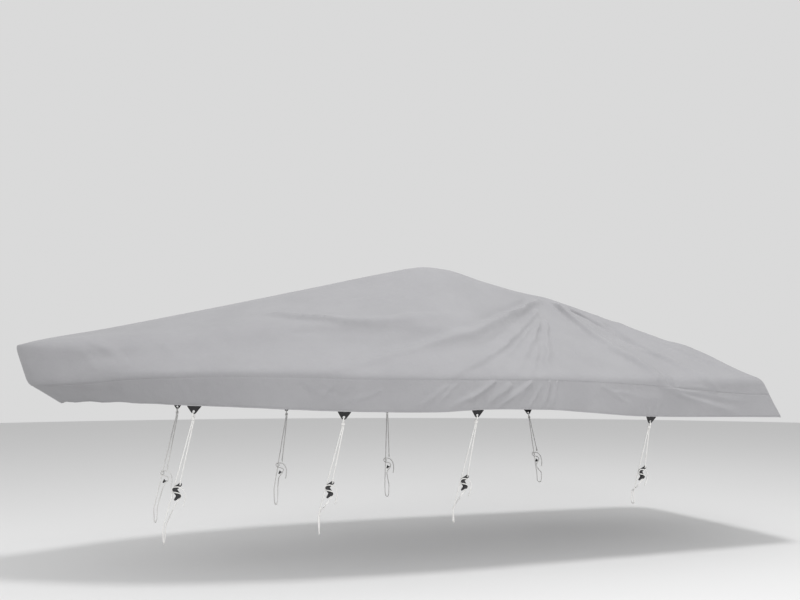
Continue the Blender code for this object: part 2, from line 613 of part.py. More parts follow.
class Tie:
    """Where the pieces of one tie go, from the hem down, in the boat's frame."""

    def __init__(self, side, row):
        self.side, self.row = side, row
        around = np.array([side * girth_at_hem(row.tab_x + share * TAB_WIDTH)
                           for share in (-0.5, 0.0, 0.5)])
        height = np.full(3, 7.0)
        outward = [Vector(normal) for normal in normal_of(cover, around, height)]
        self.top_edge = []
        for spot, normal in zip(cover(around, height), outward):
            spot = Vector(spot) - normal * (CLOTH - TAB_THICKNESS) / 2
            spot.z -= SEAT + CLOTH * abs(normal.z)
            self.top_edge.append(spot)
        # the tab hangs towards the rail, leaning a little with the rope
        pull = Vector((row.rail_x, side * row.rail_y, row.rail_top)) - self.top_edge[1]
        pull = Vector((pull.x * TAB_LEAN, pull.y, pull.z)).normalized()
        self.up = -pull
        self.tip = self.top_edge[1] + pull * TAB_DROP
        self.face_out = (outward[1] - pull * outward[1].dot(pull)).normalized()
        # the bight hangs on the lower edge of the eye, the knot below it
        sunk = BIGHT_RADIUS - ROPE / 2 - (EYE_ABOVE_TIP - EYE_RADIUS) - SEAT
        self.bight = self.tip - self.face_out * (TAB_THICKNESS / 2) + pull * sunk
        foot = self.bight + pull * (BIGHT_RADIUS + KNOT_PROFILE[-1].drop + SEAT)
        # two strands leave the knot side by side
        aft = Vector((1.0, 0.0, 0.0))
        apart = (aft - pull * aft.dot(pull)).normalized() * STRAND_SPREAD
        self.long_top, self.short_top = foot - apart, foot + apart
        self.rail_outer_y = side * (row.rail_y + ROPE / 2 + RAIL_CLEAR)
        self.rail_inner_y = side * (row.rail_y - RAIL_WIDTH - ROPE / 2 - RAIL_CLEAR)
        self.on_rail = Vector((row.rail_x, self.rail_outer_y, row.rail_top - 0.004))
        # the tensioner lies just outboard and aft of the long strand, leaning with it
        strand = self.long_top - self.on_rail
        self.aft = aft
        self.lean = Vector((0.0, strand.y, strand.z)).normalized()
        self.outboard = aft.cross(self.lean) * -side
        share = (row.tensioner_z - self.on_rail.z) / strand.z
        self.hub = self.on_rail + strand * share + aft * PLATE_AFT
        self.hub += self.outboard * ((PLATE + ROPE) / 2 + PLATE_CLEAR)

    def on_plate(self, x, z, out=0.0):
        """A place given in the tensioner's own frame."""
        return self.hub + self.aft * x + self.lean * z + self.outboard * out

    def tab_outline(self):
        """Twelve points round the tab, from the middle of its upper edge anticlockwise."""
        left, middle, right = self.top_edge
        across = right - left
        across = (across - self.up * across.dot(self.up)).normalized()
        half_tip = across * (TAB_TIP_WIDTH / 2)
        chamfer = across * (TAB_TIP_WIDTH / 2 - TAB_CHAMFER)
        low_left = self.tip - half_tip + self.up * TAB_CHAMFER
        low_right = self.tip + half_tip + self.up * TAB_CHAMFER
        outline = [middle, middle.lerp(left, 0.5), left, left.lerp(low_left, 0.5), low_left,
                   self.tip - chamfer, self.tip, self.tip + chamfer, low_right,
                   right.lerp(low_right, 0.5), right, right.lerp(middle, 0.5)]
        eye = self.tip + self.up * EYE_ABOVE_TIP
        quarter = math.pi / 2
        turns = [quarter + 2 * math.pi * k / EYE_SIDES for k in range(EYE_SIDES)]
        hole = [eye + (across * math.cos(turn) + self.up * math.sin(turn)) * EYE_RADIUS
                for turn in turns]
        return outline, hole

    def short_route(self):
        """The strand from the knot to the top of the tensioner."""
        end = self.on_plate(EYE_LOBE.x, EYE_LOBE.z + EYE_LOBE.radius + SEAT)
        return [self.short_top, self.short_top - self.up * ROPE,
                self.short_top.lerp(end, 0.5), end + self.lean * ROPE, end]

    def long_route(self):
        """The strand from the knot round the rail and up to the tensioner's bollards."""
        route = [self.long_top, self.long_top - self.up * ROPE,
                 self.long_top.lerp(self.on_rail, 0.5), self.long_top.lerp(self.on_rail, 0.93)]
        under = self.row.rail_bottom - ROPE / 2 - RAIL_CLEAR
        for spot in RAIL_TURN:
            face_y = self.rail_outer_y if spot.face == OUTER else self.rail_inner_y
            level_z = self.row.rail_top if spot.level == TOP else under
            route.append(Vector((self.row.rail_x + spot.x, face_y + self.side * spot.out,
                                 level_z + spot.up)))
        clear = (PLATE + ROPE) / 2 + SEAT
        winding = [*RISE, *around_bollard(LOW_LOBE, LOW_TURN_DEGREES),
                   *around_bollard(HIGH_LOBE, HIGH_TURN_DEGREES), *FREE_END]
        winding = [self.on_plate(x, z, clear) for x, z in winding]
        return [*route, route[-1].lerp(winding[0], 0.5), *winding]


def around_bollard(lobe, degrees):
    """Points of the rope's centreline round one bollard."""
    return [(lobe.x + BOLLARD_TURN * math.cos(math.radians(angle)),
             lobe.z + BOLLARD_TURN * math.sin(math.radians(angle))) for angle in degrees]


def tab_mesh(tie):
    """The tab: a flat patch with an eye, from a ring of points and a hole of as many."""
    outline, hole = tie.tab_outline()
    work = bmesh.new()
    layers = []
    for depth in (0.0, TAB_THICKNESS):
        shift = tie.face_out * -depth
        layers.append([[work.verts.new(shifted(place + shift)) for place in ring]
                       for ring in (outline, hole)])
    (rim, eye), (back_rim, back_eye) = layers
    for k in range(EYE_SIDES):
        after = (k + 1) % EYE_SIDES
        work.faces.new((rim[k], rim[after], eye[after], eye[k]))
        work.faces.new((back_rim[after], back_rim[k], back_eye[k], back_eye[after]))
        work.faces.new((rim[after], rim[k], back_rim[k], back_rim[after]))
        work.faces.new((eye[k], eye[after], back_eye[after], back_eye[k]))
    return finished(work, "tab")


def knot_mesh():
    """The rope's bight with the lump of the knot under it."""
    lump = turned_mesh("lump", KNOT_PROFILE, 8)
    lump.transform(Matrix.Translation((0.0, 0.0, -BIGHT_RADIUS)))
    return united("knot", [ring_mesh("bight", BIGHT_RADIUS, ROPE / 2), lump])


def smooth_route(route, spacing=0.20):
    """Points along a smooth curve (Catmull-Rom) through the route, closer in its bends."""
    points = [Vector(p) for p in route]
    points = [points[0] * 2 - points[1], *points, points[-1] * 2 - points[-2]]
    path = [points[1]]
    for before, start, end, after in zip(points, points[1:], points[2:], points[3:]):
        bend = (end - start).angle(start - before, 0.0) + (after - end).angle(end - start, 0.0)
        steps = max(1, round((end - start).length / spacing), round(bend / 1.1))
        for k in range(1, steps + 1):
            t = k / steps
            path.append(0.5 * (2 * start + (end - before) * t
                               + (2 * before - 5 * start + 4 * end - after) * t ** 2
                               + (3 * start - before - 3 * end + after) * t ** 3))
    return path


def make_rope(name, route, surface):
    """A round rope along a route."""
    path = smooth_route(route)
    curve = bpy.data.curves.new(name, "CURVE")
    curve.dimensions = "3D"
    curve.bevel_depth = ROPE / 2
    curve.bevel_resolution = 2
    curve.use_fill_caps = True
    spline = curve.splines.new("POLY")
    spline.points.add(len(path) - 1)
    for spot, place in zip(spline.points, path):
        spot.co = (*shifted(place), 1.0)
    return add_object(name, curve, surface)


def place(made, origin, across, out, up):
    """Stand an object at a place of the boat's frame, on three axes."""
    turn = Matrix((across, out, up)).transposed().to_4x4()
    made.matrix_world = Matrix.Translation(shifted(origin)) @ turn


def make_ties():
    """Four ties a side: tab, knotted bight, tensioner and the two strands."""
    webbing = material("tab_webbing", (0.015, 0.015, 0.016), 0.7)
    rope = material("tie_rope", (0.78, 0.78, 0.76), 0.75)
    plastic = material("tensioner_plastic", (0.01, 0.01, 0.011), 0.45)
    knot = knot_mesh()
    for side, side_name in ((PORT, "port"), (STARBOARD, "starboard")):
        plate = plate_mesh(side)
        for number, row in enumerate(TIES, start=1):
            tie = Tie(side, row)
            label = f"{side_name}_{number}"
            add_object("tab_" + label, tab_mesh(tie), webbing)
            place(add_object("knot_" + label, knot, rope), tie.bight,
                  tie.face_out.cross(tie.up), tie.face_out, tie.up)
            place(add_object("tensioner_" + label, plate, plastic), tie.hub,
                  tie.aft, tie.lean.cross(tie.aft), tie.lean)
            make_rope("rope_short_" + label, tie.short_route(), rope)
            make_rope("rope_long_" + label, tie.long_route(), rope)


def build():
    for old in list(bpy.data.objects):
        bpy.data.objects.remove(old, do_unlink=True)
    make_cloth(material("cover_cloth", (0.46, 0.46, 0.48), 0.85))
    make_ties()


build()
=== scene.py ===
"""The looks of a fitted runabout cover: cloth, seams, stitching, tabs and tie-down ropes.

Metres. The cover is described in the boat's frame: x runs aft from the tip of the bow, y is
measured from the centreline out to either side, z is the height above the ground. The point
that rests on the boat is the origin of the finished pieces.
"""
import math
from collections import namedtuple

import bpy
import numpy as np
from mathutils import Matrix, Vector


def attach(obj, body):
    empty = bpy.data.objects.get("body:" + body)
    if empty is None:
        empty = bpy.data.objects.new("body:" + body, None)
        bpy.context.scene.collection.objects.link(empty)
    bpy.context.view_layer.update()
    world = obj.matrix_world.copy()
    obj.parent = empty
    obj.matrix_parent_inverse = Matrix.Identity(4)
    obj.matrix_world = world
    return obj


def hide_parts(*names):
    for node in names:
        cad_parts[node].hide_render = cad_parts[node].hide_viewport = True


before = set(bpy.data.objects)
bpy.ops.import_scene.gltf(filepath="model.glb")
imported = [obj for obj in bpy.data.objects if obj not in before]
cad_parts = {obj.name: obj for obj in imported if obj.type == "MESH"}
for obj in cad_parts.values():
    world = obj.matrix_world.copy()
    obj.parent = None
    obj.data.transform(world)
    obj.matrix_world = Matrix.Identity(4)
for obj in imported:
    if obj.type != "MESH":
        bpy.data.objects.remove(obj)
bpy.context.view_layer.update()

# ======================================================================================
# Top panels
# Two lengths of solution-dyed polyester, cut to shape and sewn together along the crest,
# stretched from the bow rail over the windshield frame to the aft support pole and down
# over the gunwale, where the skirt is sewn on. The pull of the ties creases them.
# ======================================================================================
REST_POINT = (3.77, 0.0, 2.773)      # underside of the cloth on top of the windshield
CLOTH = 0.002                        # thickness of the coated polyester
SEAM_GAP = 0.0005                    # clearance where two sewn panels meet
SAG_LOWEST = 0.4                     # share of the way down at which the cloth sags most
SAG_OFF_CENTRE = 0.2                 # the sag draws in sideways only this far off centre
CREST_STEP = 0.02                    # the crest's slope is taken over this length
RIDGE_ROUND = 0.10                   # half width of the rounded crest
POLE_ROUND = 0.05                    # radius of the cap over the aft support pole
POLE_TAPER = 0.5                     # length over which the crest narrows to the pole
RAIL_ROUND = 0.09                    # rounding over the bow rail and windshield frame
EDGE_ROUND = 0.055                   # rounding over the gunwale
CROWN_MOST = 0.4                     # most of the way to the rail that the crown takes
CORNER_MOST = 0.45                   # most of a straight that a rounding takes
SEAM_MOST, EDGE_MOST = 0.6, 0.8      # the same for the seam's drop and under the gunwale
PORT, STARBOARD = -1, 1
SIDES = {PORT: "port", STARBOARD: "starboard"}

# ---- the crest of the cover, bow to aft support pole -----------------------------------
CrestPoint = namedtuple("CrestPoint", "x z")
CREST = [CrestPoint(*row) for row in (
    (0.06, 1.940),
    (0.16, 1.971),
    (0.69, 2.081),
    (1.58, 2.282),
    (2.54, 2.508),
    (3.40, 2.712),
    (3.62, 2.759),
    (3.77, 2.777),
    (3.97, 2.764),
    (4.42, 2.652),
    (4.79, 2.568),
    (5.11, 2.520),
)]

# ---- one row for each section, from the stem round the near side to the transom --------
# crest_x: where it starts on the crest; rail: the shoulder over the bow rail, windshield
# frame or nothing; edge: the gunwale; hem: the bottom edge; seam_drop: how far below the
# gunwale the skirt is sewn on; sag: how far the cloth hangs in between rail and edge,
# or bulges out where it is negative.
Section = namedtuple("Section", "crest_x rail_x rail_y rail_z edge_x edge_y edge_z "
                     "hem_x hem_y hem_z seam_drop sag")
SECTIONS = [Section(*row) for row in (
    (0.06, -0.010, 0.000, 1.924, 0.100, 0.000, 1.604, 0.380, 0.000, 1.437, 0.040, 0.000),
    (0.12, 0.020, 0.120, 1.932, 0.145, 0.130, 1.607, 0.405, 0.075, 1.441, 0.040, 0.000),
    (0.25, 0.140, 0.250, 1.948, 0.280, 0.270, 1.614, 0.500, 0.170, 1.446, 0.040, 0.004),
    (0.50, 0.410, 0.370, 1.965, 0.530, 0.440, 1.632, 0.700, 0.315, 1.447, 0.040, 0.008),
    (0.87, 0.810, 0.480, 1.985, 0.880, 0.665, 1.668, 1.000, 0.520, 1.436, 0.040, 0.012),
    (1.28, 1.260, 0.560, 2.020, 1.280, 0.865, 1.690, 1.370, 0.735, 1.421, 0.040, 0.014),
    (1.75, 1.730, 0.640, 2.095, 1.750, 1.030, 1.704, 1.800, 0.925, 1.404, 0.042, 0.020),
    (2.25, 2.240, 0.730, 2.175, 2.250, 1.145, 1.704, 2.280, 1.075, 1.382, 0.048, 0.032),
    (2.80, 2.800, 0.800, 2.200, 2.800, 1.222, 1.686, 2.800, 1.185, 1.364, 0.044, 0.042),
    (3.35, 3.380, 0.880, 2.195, 3.380, 1.250, 1.677, 3.380, 1.238, 1.356, 0.036, 0.045),
    (3.80, 3.870, 0.880, 2.165, 3.900, 1.255, 1.675, 3.920, 1.248, 1.376, 0.036, 0.030),
    (4.25, 4.320, 0.780, 2.110, 4.430, 1.250, 1.672, 4.480, 1.243, 1.366, 0.038, 0.012),
    (4.68, 4.780, 0.680, 2.080, 4.880, 1.242, 1.666, 4.930, 1.237, 1.334, 0.044, 0.006),
    (5.11, 5.260, 0.630, 2.060, 5.400, 1.230, 1.655, 5.470, 1.226, 1.295, 0.060, 0.006),
    (5.11, 5.530, 0.630, 2.050, 5.950, 1.215, 1.642, 6.010, 1.211, 1.281, 0.084, 0.010),
    (5.11, 5.780, 0.620, 2.065, 6.450, 1.195, 1.638, 6.500, 1.196, 1.274, 0.122, -0.004),
    (5.11, 5.970, 0.600, 2.092, 6.830, 1.178, 1.640, 6.950, 1.188, 1.266, 0.150, -0.022),
    (5.11, 6.040, 0.570, 2.112, 6.965, 1.140, 1.642, 7.135, 1.175, 1.262, 0.160, -0.034),
    (5.11, 6.070, 0.525, 2.090, 7.030, 1.050, 1.642, 7.215, 1.115, 1.260, 0.165, -0.026),
    (5.11, 6.090, 0.375, 2.060, 7.065, 0.750, 1.640, 7.260, 0.860, 1.259, 0.165, -0.004),
    (5.11, 6.100, 0.185, 2.050, 7.080, 0.370, 1.639, 7.275, 0.430, 1.258, 0.165, 0.012),
    (5.11, 6.100, 0.000, 2.045, 7.085, 0.000, 1.638, 7.280, 0.000, 1.258, 0.165, 0.020),
)]
# The height of a place is 0 on the crest and goes up by 1 with each stretch down the cloth.
BELOW_RAIL, AT_SEAM, AT_HEM = 3.0, 6.0, 7.0
POLE_SECTION = 13                    # the first row that starts at the pole
LAST_SIDE_SECTION = 16               # the last row on the side
CORNER_SECTION = 17                  # the row on the corner of the transom

# ---- the main folds --------------------------------------------------------------------
# Each runs between two points of one side, given by x and z as seen from abeam, and bows
# sideways by "bow". It is "width" wide, half of that where it starts, and "depth" deep; a
# negative depth stands out as a ridge.
Fold = namedtuple("Fold", "x0 z0 x1 z1 bow width depth")
PORT_FOLDS = [Fold(*row) for row in (
    (5.05, 2.49, 2.66, 1.76, -0.06, 0.090, 0.030),
    (4.88, 2.47, 2.80, 1.84, -0.04, 0.085, -0.020),
    (4.88, 2.33, 3.52, 1.65, 0.00, 0.065, 0.018),
    (4.87, 2.37, 3.79, 1.85, 0.01, 0.055, -0.010),
    (4.86, 2.26, 4.08, 1.65, 0.00, 0.055, 0.014),
    (4.87, 2.28, 4.40, 1.67, 0.01, 0.045, -0.012),
    (4.92, 2.24, 4.47, 1.66, 0.01, 0.050, 0.012),
    (5.15, 2.46, 5.69, 1.59, -0.05, 0.080, 0.022),
    (5.62, 2.23, 5.95, 1.78, 0.00, 0.070, -0.020),
    (5.40, 2.31, 6.41, 1.59, 0.00, 0.070, 0.014),
    (5.72, 1.57, 6.64, 1.29, 0.02, 0.060, 0.010),
    (4.32, 1.61, 4.05, 1.40, 0.00, 0.050, 0.012),
    (4.12, 1.61, 3.84, 1.41, 0.00, 0.050, 0.012),
    (3.94, 1.61, 3.63, 1.41, 0.00, 0.050, 0.010),
    (0.64, 1.99, 0.82, 1.81, 0.00, 0.055, 0.006),
)]
STARBOARD_FOLDS = [Fold(*row) for row in (
    (5.03, 2.48, 2.95, 1.84, -0.05, 0.090, 0.026),
    (4.90, 2.40, 3.55, 1.80, 0.02, 0.075, -0.018),
    (4.90, 2.32, 3.95, 1.68, 0.02, 0.055, 0.014),
    (4.93, 2.26, 4.62, 1.67, 0.00, 0.050, 0.012),
    (5.18, 2.42, 5.85, 1.66, 0.04, 0.080, 0.026),
    (5.50, 2.25, 6.20, 1.70, 0.02, 0.075, -0.014),
    (4.20, 1.61, 3.95, 1.40, 0.00, 0.050, 0.010),
    (5.30, 1.60, 5.62, 1.33, 0.00, 0.060, 0.010),
    (0.70, 1.98, 0.95, 1.78, 0.00, 0.055, 0.006),
)]

# ---- the finer creases, in the same form -----------------------------------------------
PORT_CREASES = [Fold(*row) for row in (
    (2.02, 2.21, 3.84, 2.27, 0.085, 0.056, 0.034),
    (2.20, 2.03, 3.70, 2.08, 0.000, 0.070, -0.008),
    (3.81, 2.65, 2.55, 2.32, -0.06, 0.045, 0.009),
    (3.92, 2.59, 3.00, 2.29, -0.03, 0.040, 0.007),
    (3.62, 2.70, 2.20, 2.35, -0.03, 0.045, 0.007),
    (4.95, 2.44, 2.30, 1.66, -0.045, 0.046, 0.021),
    (4.90, 2.36, 3.45, 1.62, -0.045, 0.034, 0.015),
    (4.92, 2.29, 3.85, 1.66, 0.015, 0.034, 0.010),
    (4.86, 2.24, 4.15, 1.68, 0.01, 0.028, 0.009),
    (4.86, 2.22, 4.27, 1.66, -0.01, 0.028, 0.009),
    (4.92, 2.24, 4.47, 1.66, 0.01, 0.024, 0.006),
    (4.96, 2.30, 4.62, 1.67, 0.01, 0.030, -0.005),
    (5.15, 2.43, 5.78, 1.55, 0.04, 0.046, 0.046),
    (5.35, 1.98, 5.79, 1.59, -0.01, 0.040, 0.009),
    (5.51, 2.26, 5.64, 2.14, 0.00, 0.030, 0.006),
    (5.32, 2.39, 5.97, 1.86, 0.00, 0.045, -0.036),
    (5.85, 2.00, 6.40, 1.50, 0.02, 0.045, 0.014),
    (5.44, 2.06, 5.98, 1.44, 0.00, 0.044, 0.018),
    (5.72, 2.04, 6.44, 1.50, 0.00, 0.044, 0.012),
    (5.58, 2.31, 6.46, 1.90, -0.01, 0.046, 0.012),
    (4.94, 1.93, 5.03, 1.66, 0.00, 0.030, 0.004),
    (5.90, 2.08, 6.70, 1.64, -0.01, 0.050, -0.006),
    (6.02, 2.06, 6.86, 1.66, 0.02, 0.040, 0.006),
    (5.15, 1.52, 5.78, 1.45, 0.00, 0.040, 0.005),
    (5.64, 1.59, 6.41, 1.54, 0.00, 0.030, 0.005),
    (5.69, 1.58, 6.70, 1.29, 0.015, 0.034, 0.009),
    (5.75, 1.57, 6.72, 1.43, 0.01, 0.030, 0.010),
    (3.52, 1.60, 3.20, 1.40, -0.02, 0.028, 0.008),
    (3.62, 1.62, 3.40, 1.40, 0.01, 0.024, 0.007),
    (3.97, 1.63, 3.46, 1.37, -0.015, 0.030, 0.013),
    (4.10, 1.57, 3.84, 1.38, 0.01, 0.022, 0.007),
    (4.33, 1.63, 3.96, 1.37, 0.01, 0.026, 0.016),
    (4.42, 1.59, 4.26, 1.36, 0.00, 0.020, 0.007),
    (4.50, 1.63, 4.41, 1.35, 0.00, 0.020, 0.012),
    (4.58, 1.63, 4.50, 1.36, 0.00, 0.020, 0.009),
    (5.02, 1.60, 5.34, 1.40, 0.00, 0.024, 0.006),
    (2.54, 1.61, 2.36, 1.42, 0.00, 0.024, 0.006),
    (2.66, 1.60, 2.47, 1.40, 0.00, 0.022, 0.006),
    (2.92, 1.54, 2.50, 1.42, 0.00, 0.026, 0.006),
    (2.51, 1.78, 3.14, 1.92, 0.00, 0.070, -0.006),
    (0.50, 1.99, 0.86, 1.78, -0.02, 0.032, 0.004),
    (0.53, 1.88, 0.68, 1.71, 0.00, 0.030, 0.004),
    (0.74, 1.93, 0.94, 1.70, 0.00, 0.032, 0.004),
    (2.40, 1.58, 2.61, 1.48, 0.00, 0.040, -0.007),
    (2.24, 1.60, 2.40, 1.45, 0.00, 0.040, -0.006),
    (1.10, 2.00, 1.42, 1.74, 0.01, 0.040, 0.004),
)]
STARBOARD_CREASES = [Fold(*row) for row in (
    (4.94, 2.38, 3.60, 1.95, -0.02, 0.034, 0.007),
    (4.90, 2.30, 3.80, 1.66, 0.01, 0.030, 0.006),
    (4.90, 2.26, 4.30, 1.68, 0.01, 0.028, 0.006),
    (5.00, 2.36, 4.86, 1.72, 0.01, 0.030, 0.005),
    (5.20, 2.38, 5.46, 1.64, 0.03, 0.032, 0.007),
    (5.44, 2.28, 6.60, 1.72, -0.02, 0.042, -0.006),
    (5.52, 1.76, 6.40, 1.36, -0.03, 0.040, 0.007),
    (2.10, 2.28, 3.40, 2.20, 0.01, 0.040, 0.006),
    (2.30, 2.08, 3.30, 1.98, -0.02, 0.060, 0.006),
    (0.52, 1.97, 0.70, 1.79, 0.00, 0.028, 0.004),
    (1.20, 2.00, 1.50, 1.75, 0.01, 0.040, 0.004),
    (6.05, 2.04, 6.70, 1.67, 0.01, 0.040, 0.005),
    (3.30, 1.61, 3.02, 1.42, 0.00, 0.028, 0.006),
    (4.86, 1.60, 4.72, 1.38, 0.00, 0.026, 0.005),
)]

# ---- ties ------------------------------------------------------------------------------
# tab_x: its place on the hem; rail: the trailer rail that the rope goes round, which is
# left out; tensioner_z: the height of the rope tensioner.
TieRow = namedtuple("TieRow", "tab_x rail_x rail_y rail_top rail_bottom tensioner_z")
TIES = [TieRow(*row) for row in (
    (1.430, 1.217, 0.600, 0.415, 0.285, 0.713),
    (2.613, 2.450, 0.950, 0.515, 0.350, 0.722),
    (3.788, 3.674, 0.950, 0.495, 0.380, 0.737),
    (5.583, 5.549, 0.950, 0.560, 0.462, 0.754),
)]


def column(name):
    """One named column of the section table."""
    return np.array([getattr(section, name) for section in SECTIONS])


def monotone(knots, values, at):
    """Smooth curve through the table's values that never overshoots them (PCHIP)."""
    gap = np.diff(knots)
    slope = np.diff(values) / gap
    tangent = np.empty(len(knots))
    tangent[0], tangent[-1] = slope[0], slope[-1]
    before, after = slope[:-1], slope[1:]
    same_way = before * after > 0
    total = np.where(same_way, before + after, 1.0)
    tangent[1:-1] = np.where(same_way, 2.0 * before * after / total, 0.0)
    cell = np.clip(np.searchsorted(knots, at, side="right") - 1, 0, len(gap) - 1)
    t = (at - knots[cell]) / gap[cell]
    step = values[cell + 1] - values[cell]
    entry = tangent[cell] * gap[cell]
    leave = tangent[cell + 1] * gap[cell]
    return (values[cell] + t * entry + t * t * (3 * step - 2 * entry - leave)
            + t ** 3 * (entry + leave - 2 * step))


def girth_of_sections():
    """Distance of each section from the stem, measured along the gunwale."""
    steps = np.hypot(np.diff(column("edge_x")), np.diff(column("edge_y")))
    return np.concatenate(([0.0], np.cumsum(steps)))


GIRTH = girth_of_sections()
HALF_GIRTH = GIRTH[-1]
GIRTH_AT_POLE = GIRTH[POLE_SECTION]


def read(name, girth):
    """A section value at any distance along the gunwale, even about both ends."""
    values = column(name)
    flip = -1.0 if name.endswith("_y") else 1.0
    knots = np.array((-GIRTH[1], *GIRTH, 2 * HALF_GIRTH - GIRTH[-2]))
    mirrored = np.array((flip * values[1], *values, flip * values[-2]))
    return monotone(knots, mirrored, girth)


def point_of(name, girth):
    """A named point of the sections, as an array of positions."""
    return np.stack([read(name + axis, girth) for axis in ("_x", "_y", "_z")], axis=-1)


def crest_height(x):
    """Height of the crest at x, level ahead of its first point."""
    knots = np.array([point.x for point in CREST])
    heights = np.array([point.z for point in CREST])
    return monotone(knots, heights, np.maximum(x, CREST[0].x))


def toward(start, end, length, most=CORNER_MOST):
    """The point a given length from start towards end, at most a share of the way."""
    span = end - start
    distance = np.linalg.norm(span, axis=-1, keepdims=True)
    share = np.minimum(length / np.maximum(distance, 1e-9), most)
    return start + span * share


def rounded(before, corner, after, t):
    """A quadratic curve that cuts a corner."""
    return (1 - t) ** 2 * before + 2 * (1 - t) * t * corner + t * t * after


def smooth_shape(girth, height):
    """The cover without folds, at a girth from the stem and a height."""
    crest_x = read("crest_x", girth)
    crest = np.stack((crest_x, np.zeros_like(crest_x), crest_height(crest_x)), axis=-1)
    slope = (crest_height(crest_x) - crest_height(crest_x - CREST_STEP)) / CREST_STEP
    rail = point_of("rail", girth)
    edge = point_of("edge", girth)
    hem = point_of("hem", girth)
    out = rail - crest
    level = np.maximum(np.hypot(out[..., 0], out[..., 1]), 1e-6)
    near_pole = np.clip(1.0 - (CREST[-1].x - crest_x) / POLE_TAPER, 0.0, 1.0)
    crown = RIDGE_ROUND + (POLE_ROUND - RIDGE_ROUND) * near_pole
    crown = np.minimum(crown, CROWN_MOST * level)
    knee = crest.copy()
    knee[..., 0] += out[..., 0] / level * crown
    knee[..., 1] += out[..., 1] / level * crown
    knee[..., 2] += slope * out[..., 0] / level * crown
    seam = toward(edge, hem, read("seam_drop", girth)[..., None], SEAM_MOST)
    crown_end = toward(knee, rail, crown[..., None])
    rail_start = toward(rail, knee, RAIL_ROUND)
    rail_end = toward(rail, edge, RAIL_ROUND)
    edge_start = toward(edge, rail, EDGE_ROUND)
    edge_end = toward(edge, seam, EDGE_ROUND, EDGE_MOST)
    stretches = (
        lambda t: rounded(crest, knee, crown_end, t),
        lambda t: crown_end + (rail_start - crown_end) * t,
        lambda t: rounded(rail_start, rail, rail_end, t),
        lambda t: rail_end + (edge_start - rail_end) * t,
        lambda t: rounded(edge_start, edge, edge_end, t),
        lambda t: edge_end + (seam - edge_end) * t,
        lambda t: seam + (hem - seam) * t,
    )
    shape = np.zeros(crest.shape)
    for number, stretch in enumerate(stretches):
        t = (height - number)[..., None]
        inside = (t >= 0) & (t <= 1)
        shape = np.where(inside, stretch(np.clip(t, 0, 1)), shape)
    # the cloth hangs in between the rail and the gunwale
    t = np.clip(height - BELOW_RAIL, 0, 1)
    most = SAG_LOWEST ** 2 * (1 - SAG_LOWEST) ** 3
    hollow = read("sag", girth) * t ** 2 * (1 - t) ** 3 / most
    fall = edge - rail
    drop = np.maximum(np.hypot(fall[..., 1], fall[..., 2]), 1e-9)
    off_centre = np.clip(shape[..., 1] / SAG_OFF_CENTRE, 0.0, 1.0)
    shape[..., 1] += off_centre * hollow * fall[..., 2] / drop
    shape[..., 2] -= hollow * fall[..., 1] / drop
    return shape


def wrapped(around):
    """The same place between the stern centre on the port side and on the starboard side."""
    return (around + HALF_GIRTH) % (2 * HALF_GIRTH) - HALF_GIRTH


def at_side(around, height):
    """The smooth shape at a signed distance around: port is negative, starboard positive."""
    around = wrapped(around)
    shape = smooth_shape(np.abs(around), height)
    shape[..., 1] *= np.where(around < 0, -1.0, 1.0)
    return shape


AROUND_STEP, HEIGHT_STEP = 0.01, 0.04       # the shape's slopes are taken over these


def normal_of(around, height):
    """Outward unit normal of the smooth shape."""
    below_crest = np.maximum(height, 2 * HEIGHT_STEP)
    along = at_side(around + AROUND_STEP, below_crest)
    along = along - at_side(around - AROUND_STEP, below_crest)
    down = at_side(around, np.minimum(height + HEIGHT_STEP, AT_HEM))
    down = down - at_side(around, np.maximum(height - HEIGHT_STEP, 0.0))
    normal = np.cross(down, along)
    normal[..., 1] = np.where(height == 0, 0.0, normal[..., 1])
    return normal / np.linalg.norm(normal, axis=-1, keepdims=True)


def waves(points, lengths, seed):
    """A mix of sine waves of the given lengths, each with a heading and start of its own."""
    chance = np.random.default_rng(seed)
    total = np.zeros(points.shape[:-1])
    for length in lengths:
        heading = chance.normal(size=3)
        turns = points @ heading / (np.linalg.norm(heading) * length) + chance.uniform()
        total += np.sin(2 * np.pi * turns)
    return total / math.sqrt(len(lengths) / 2)


FOLD_POINTS = 9                      # on the centreline of a fold
FOLD_SEARCH = (520, 160)             # places round and down in which a line's points are found
FOLD_SEARCH_TOP = 0.3                # height above which no fold starts
FOLD_START = 0.5                     # share of its width with which a fold starts
FOLD_UNEVEN = 0.18                   # how much a fold's depth and width vary on its way
FOLD_BEAT, FOLD_OWN_BEAT = 6.0, 1.7  # how often they do, and where each fold begins
FOLD_IN, FOLD_OUT = 0.06, 0.3        # shares of its length in which a fold comes and goes
FOLD_REACH = 3                       # widths from its line where a fold is gone


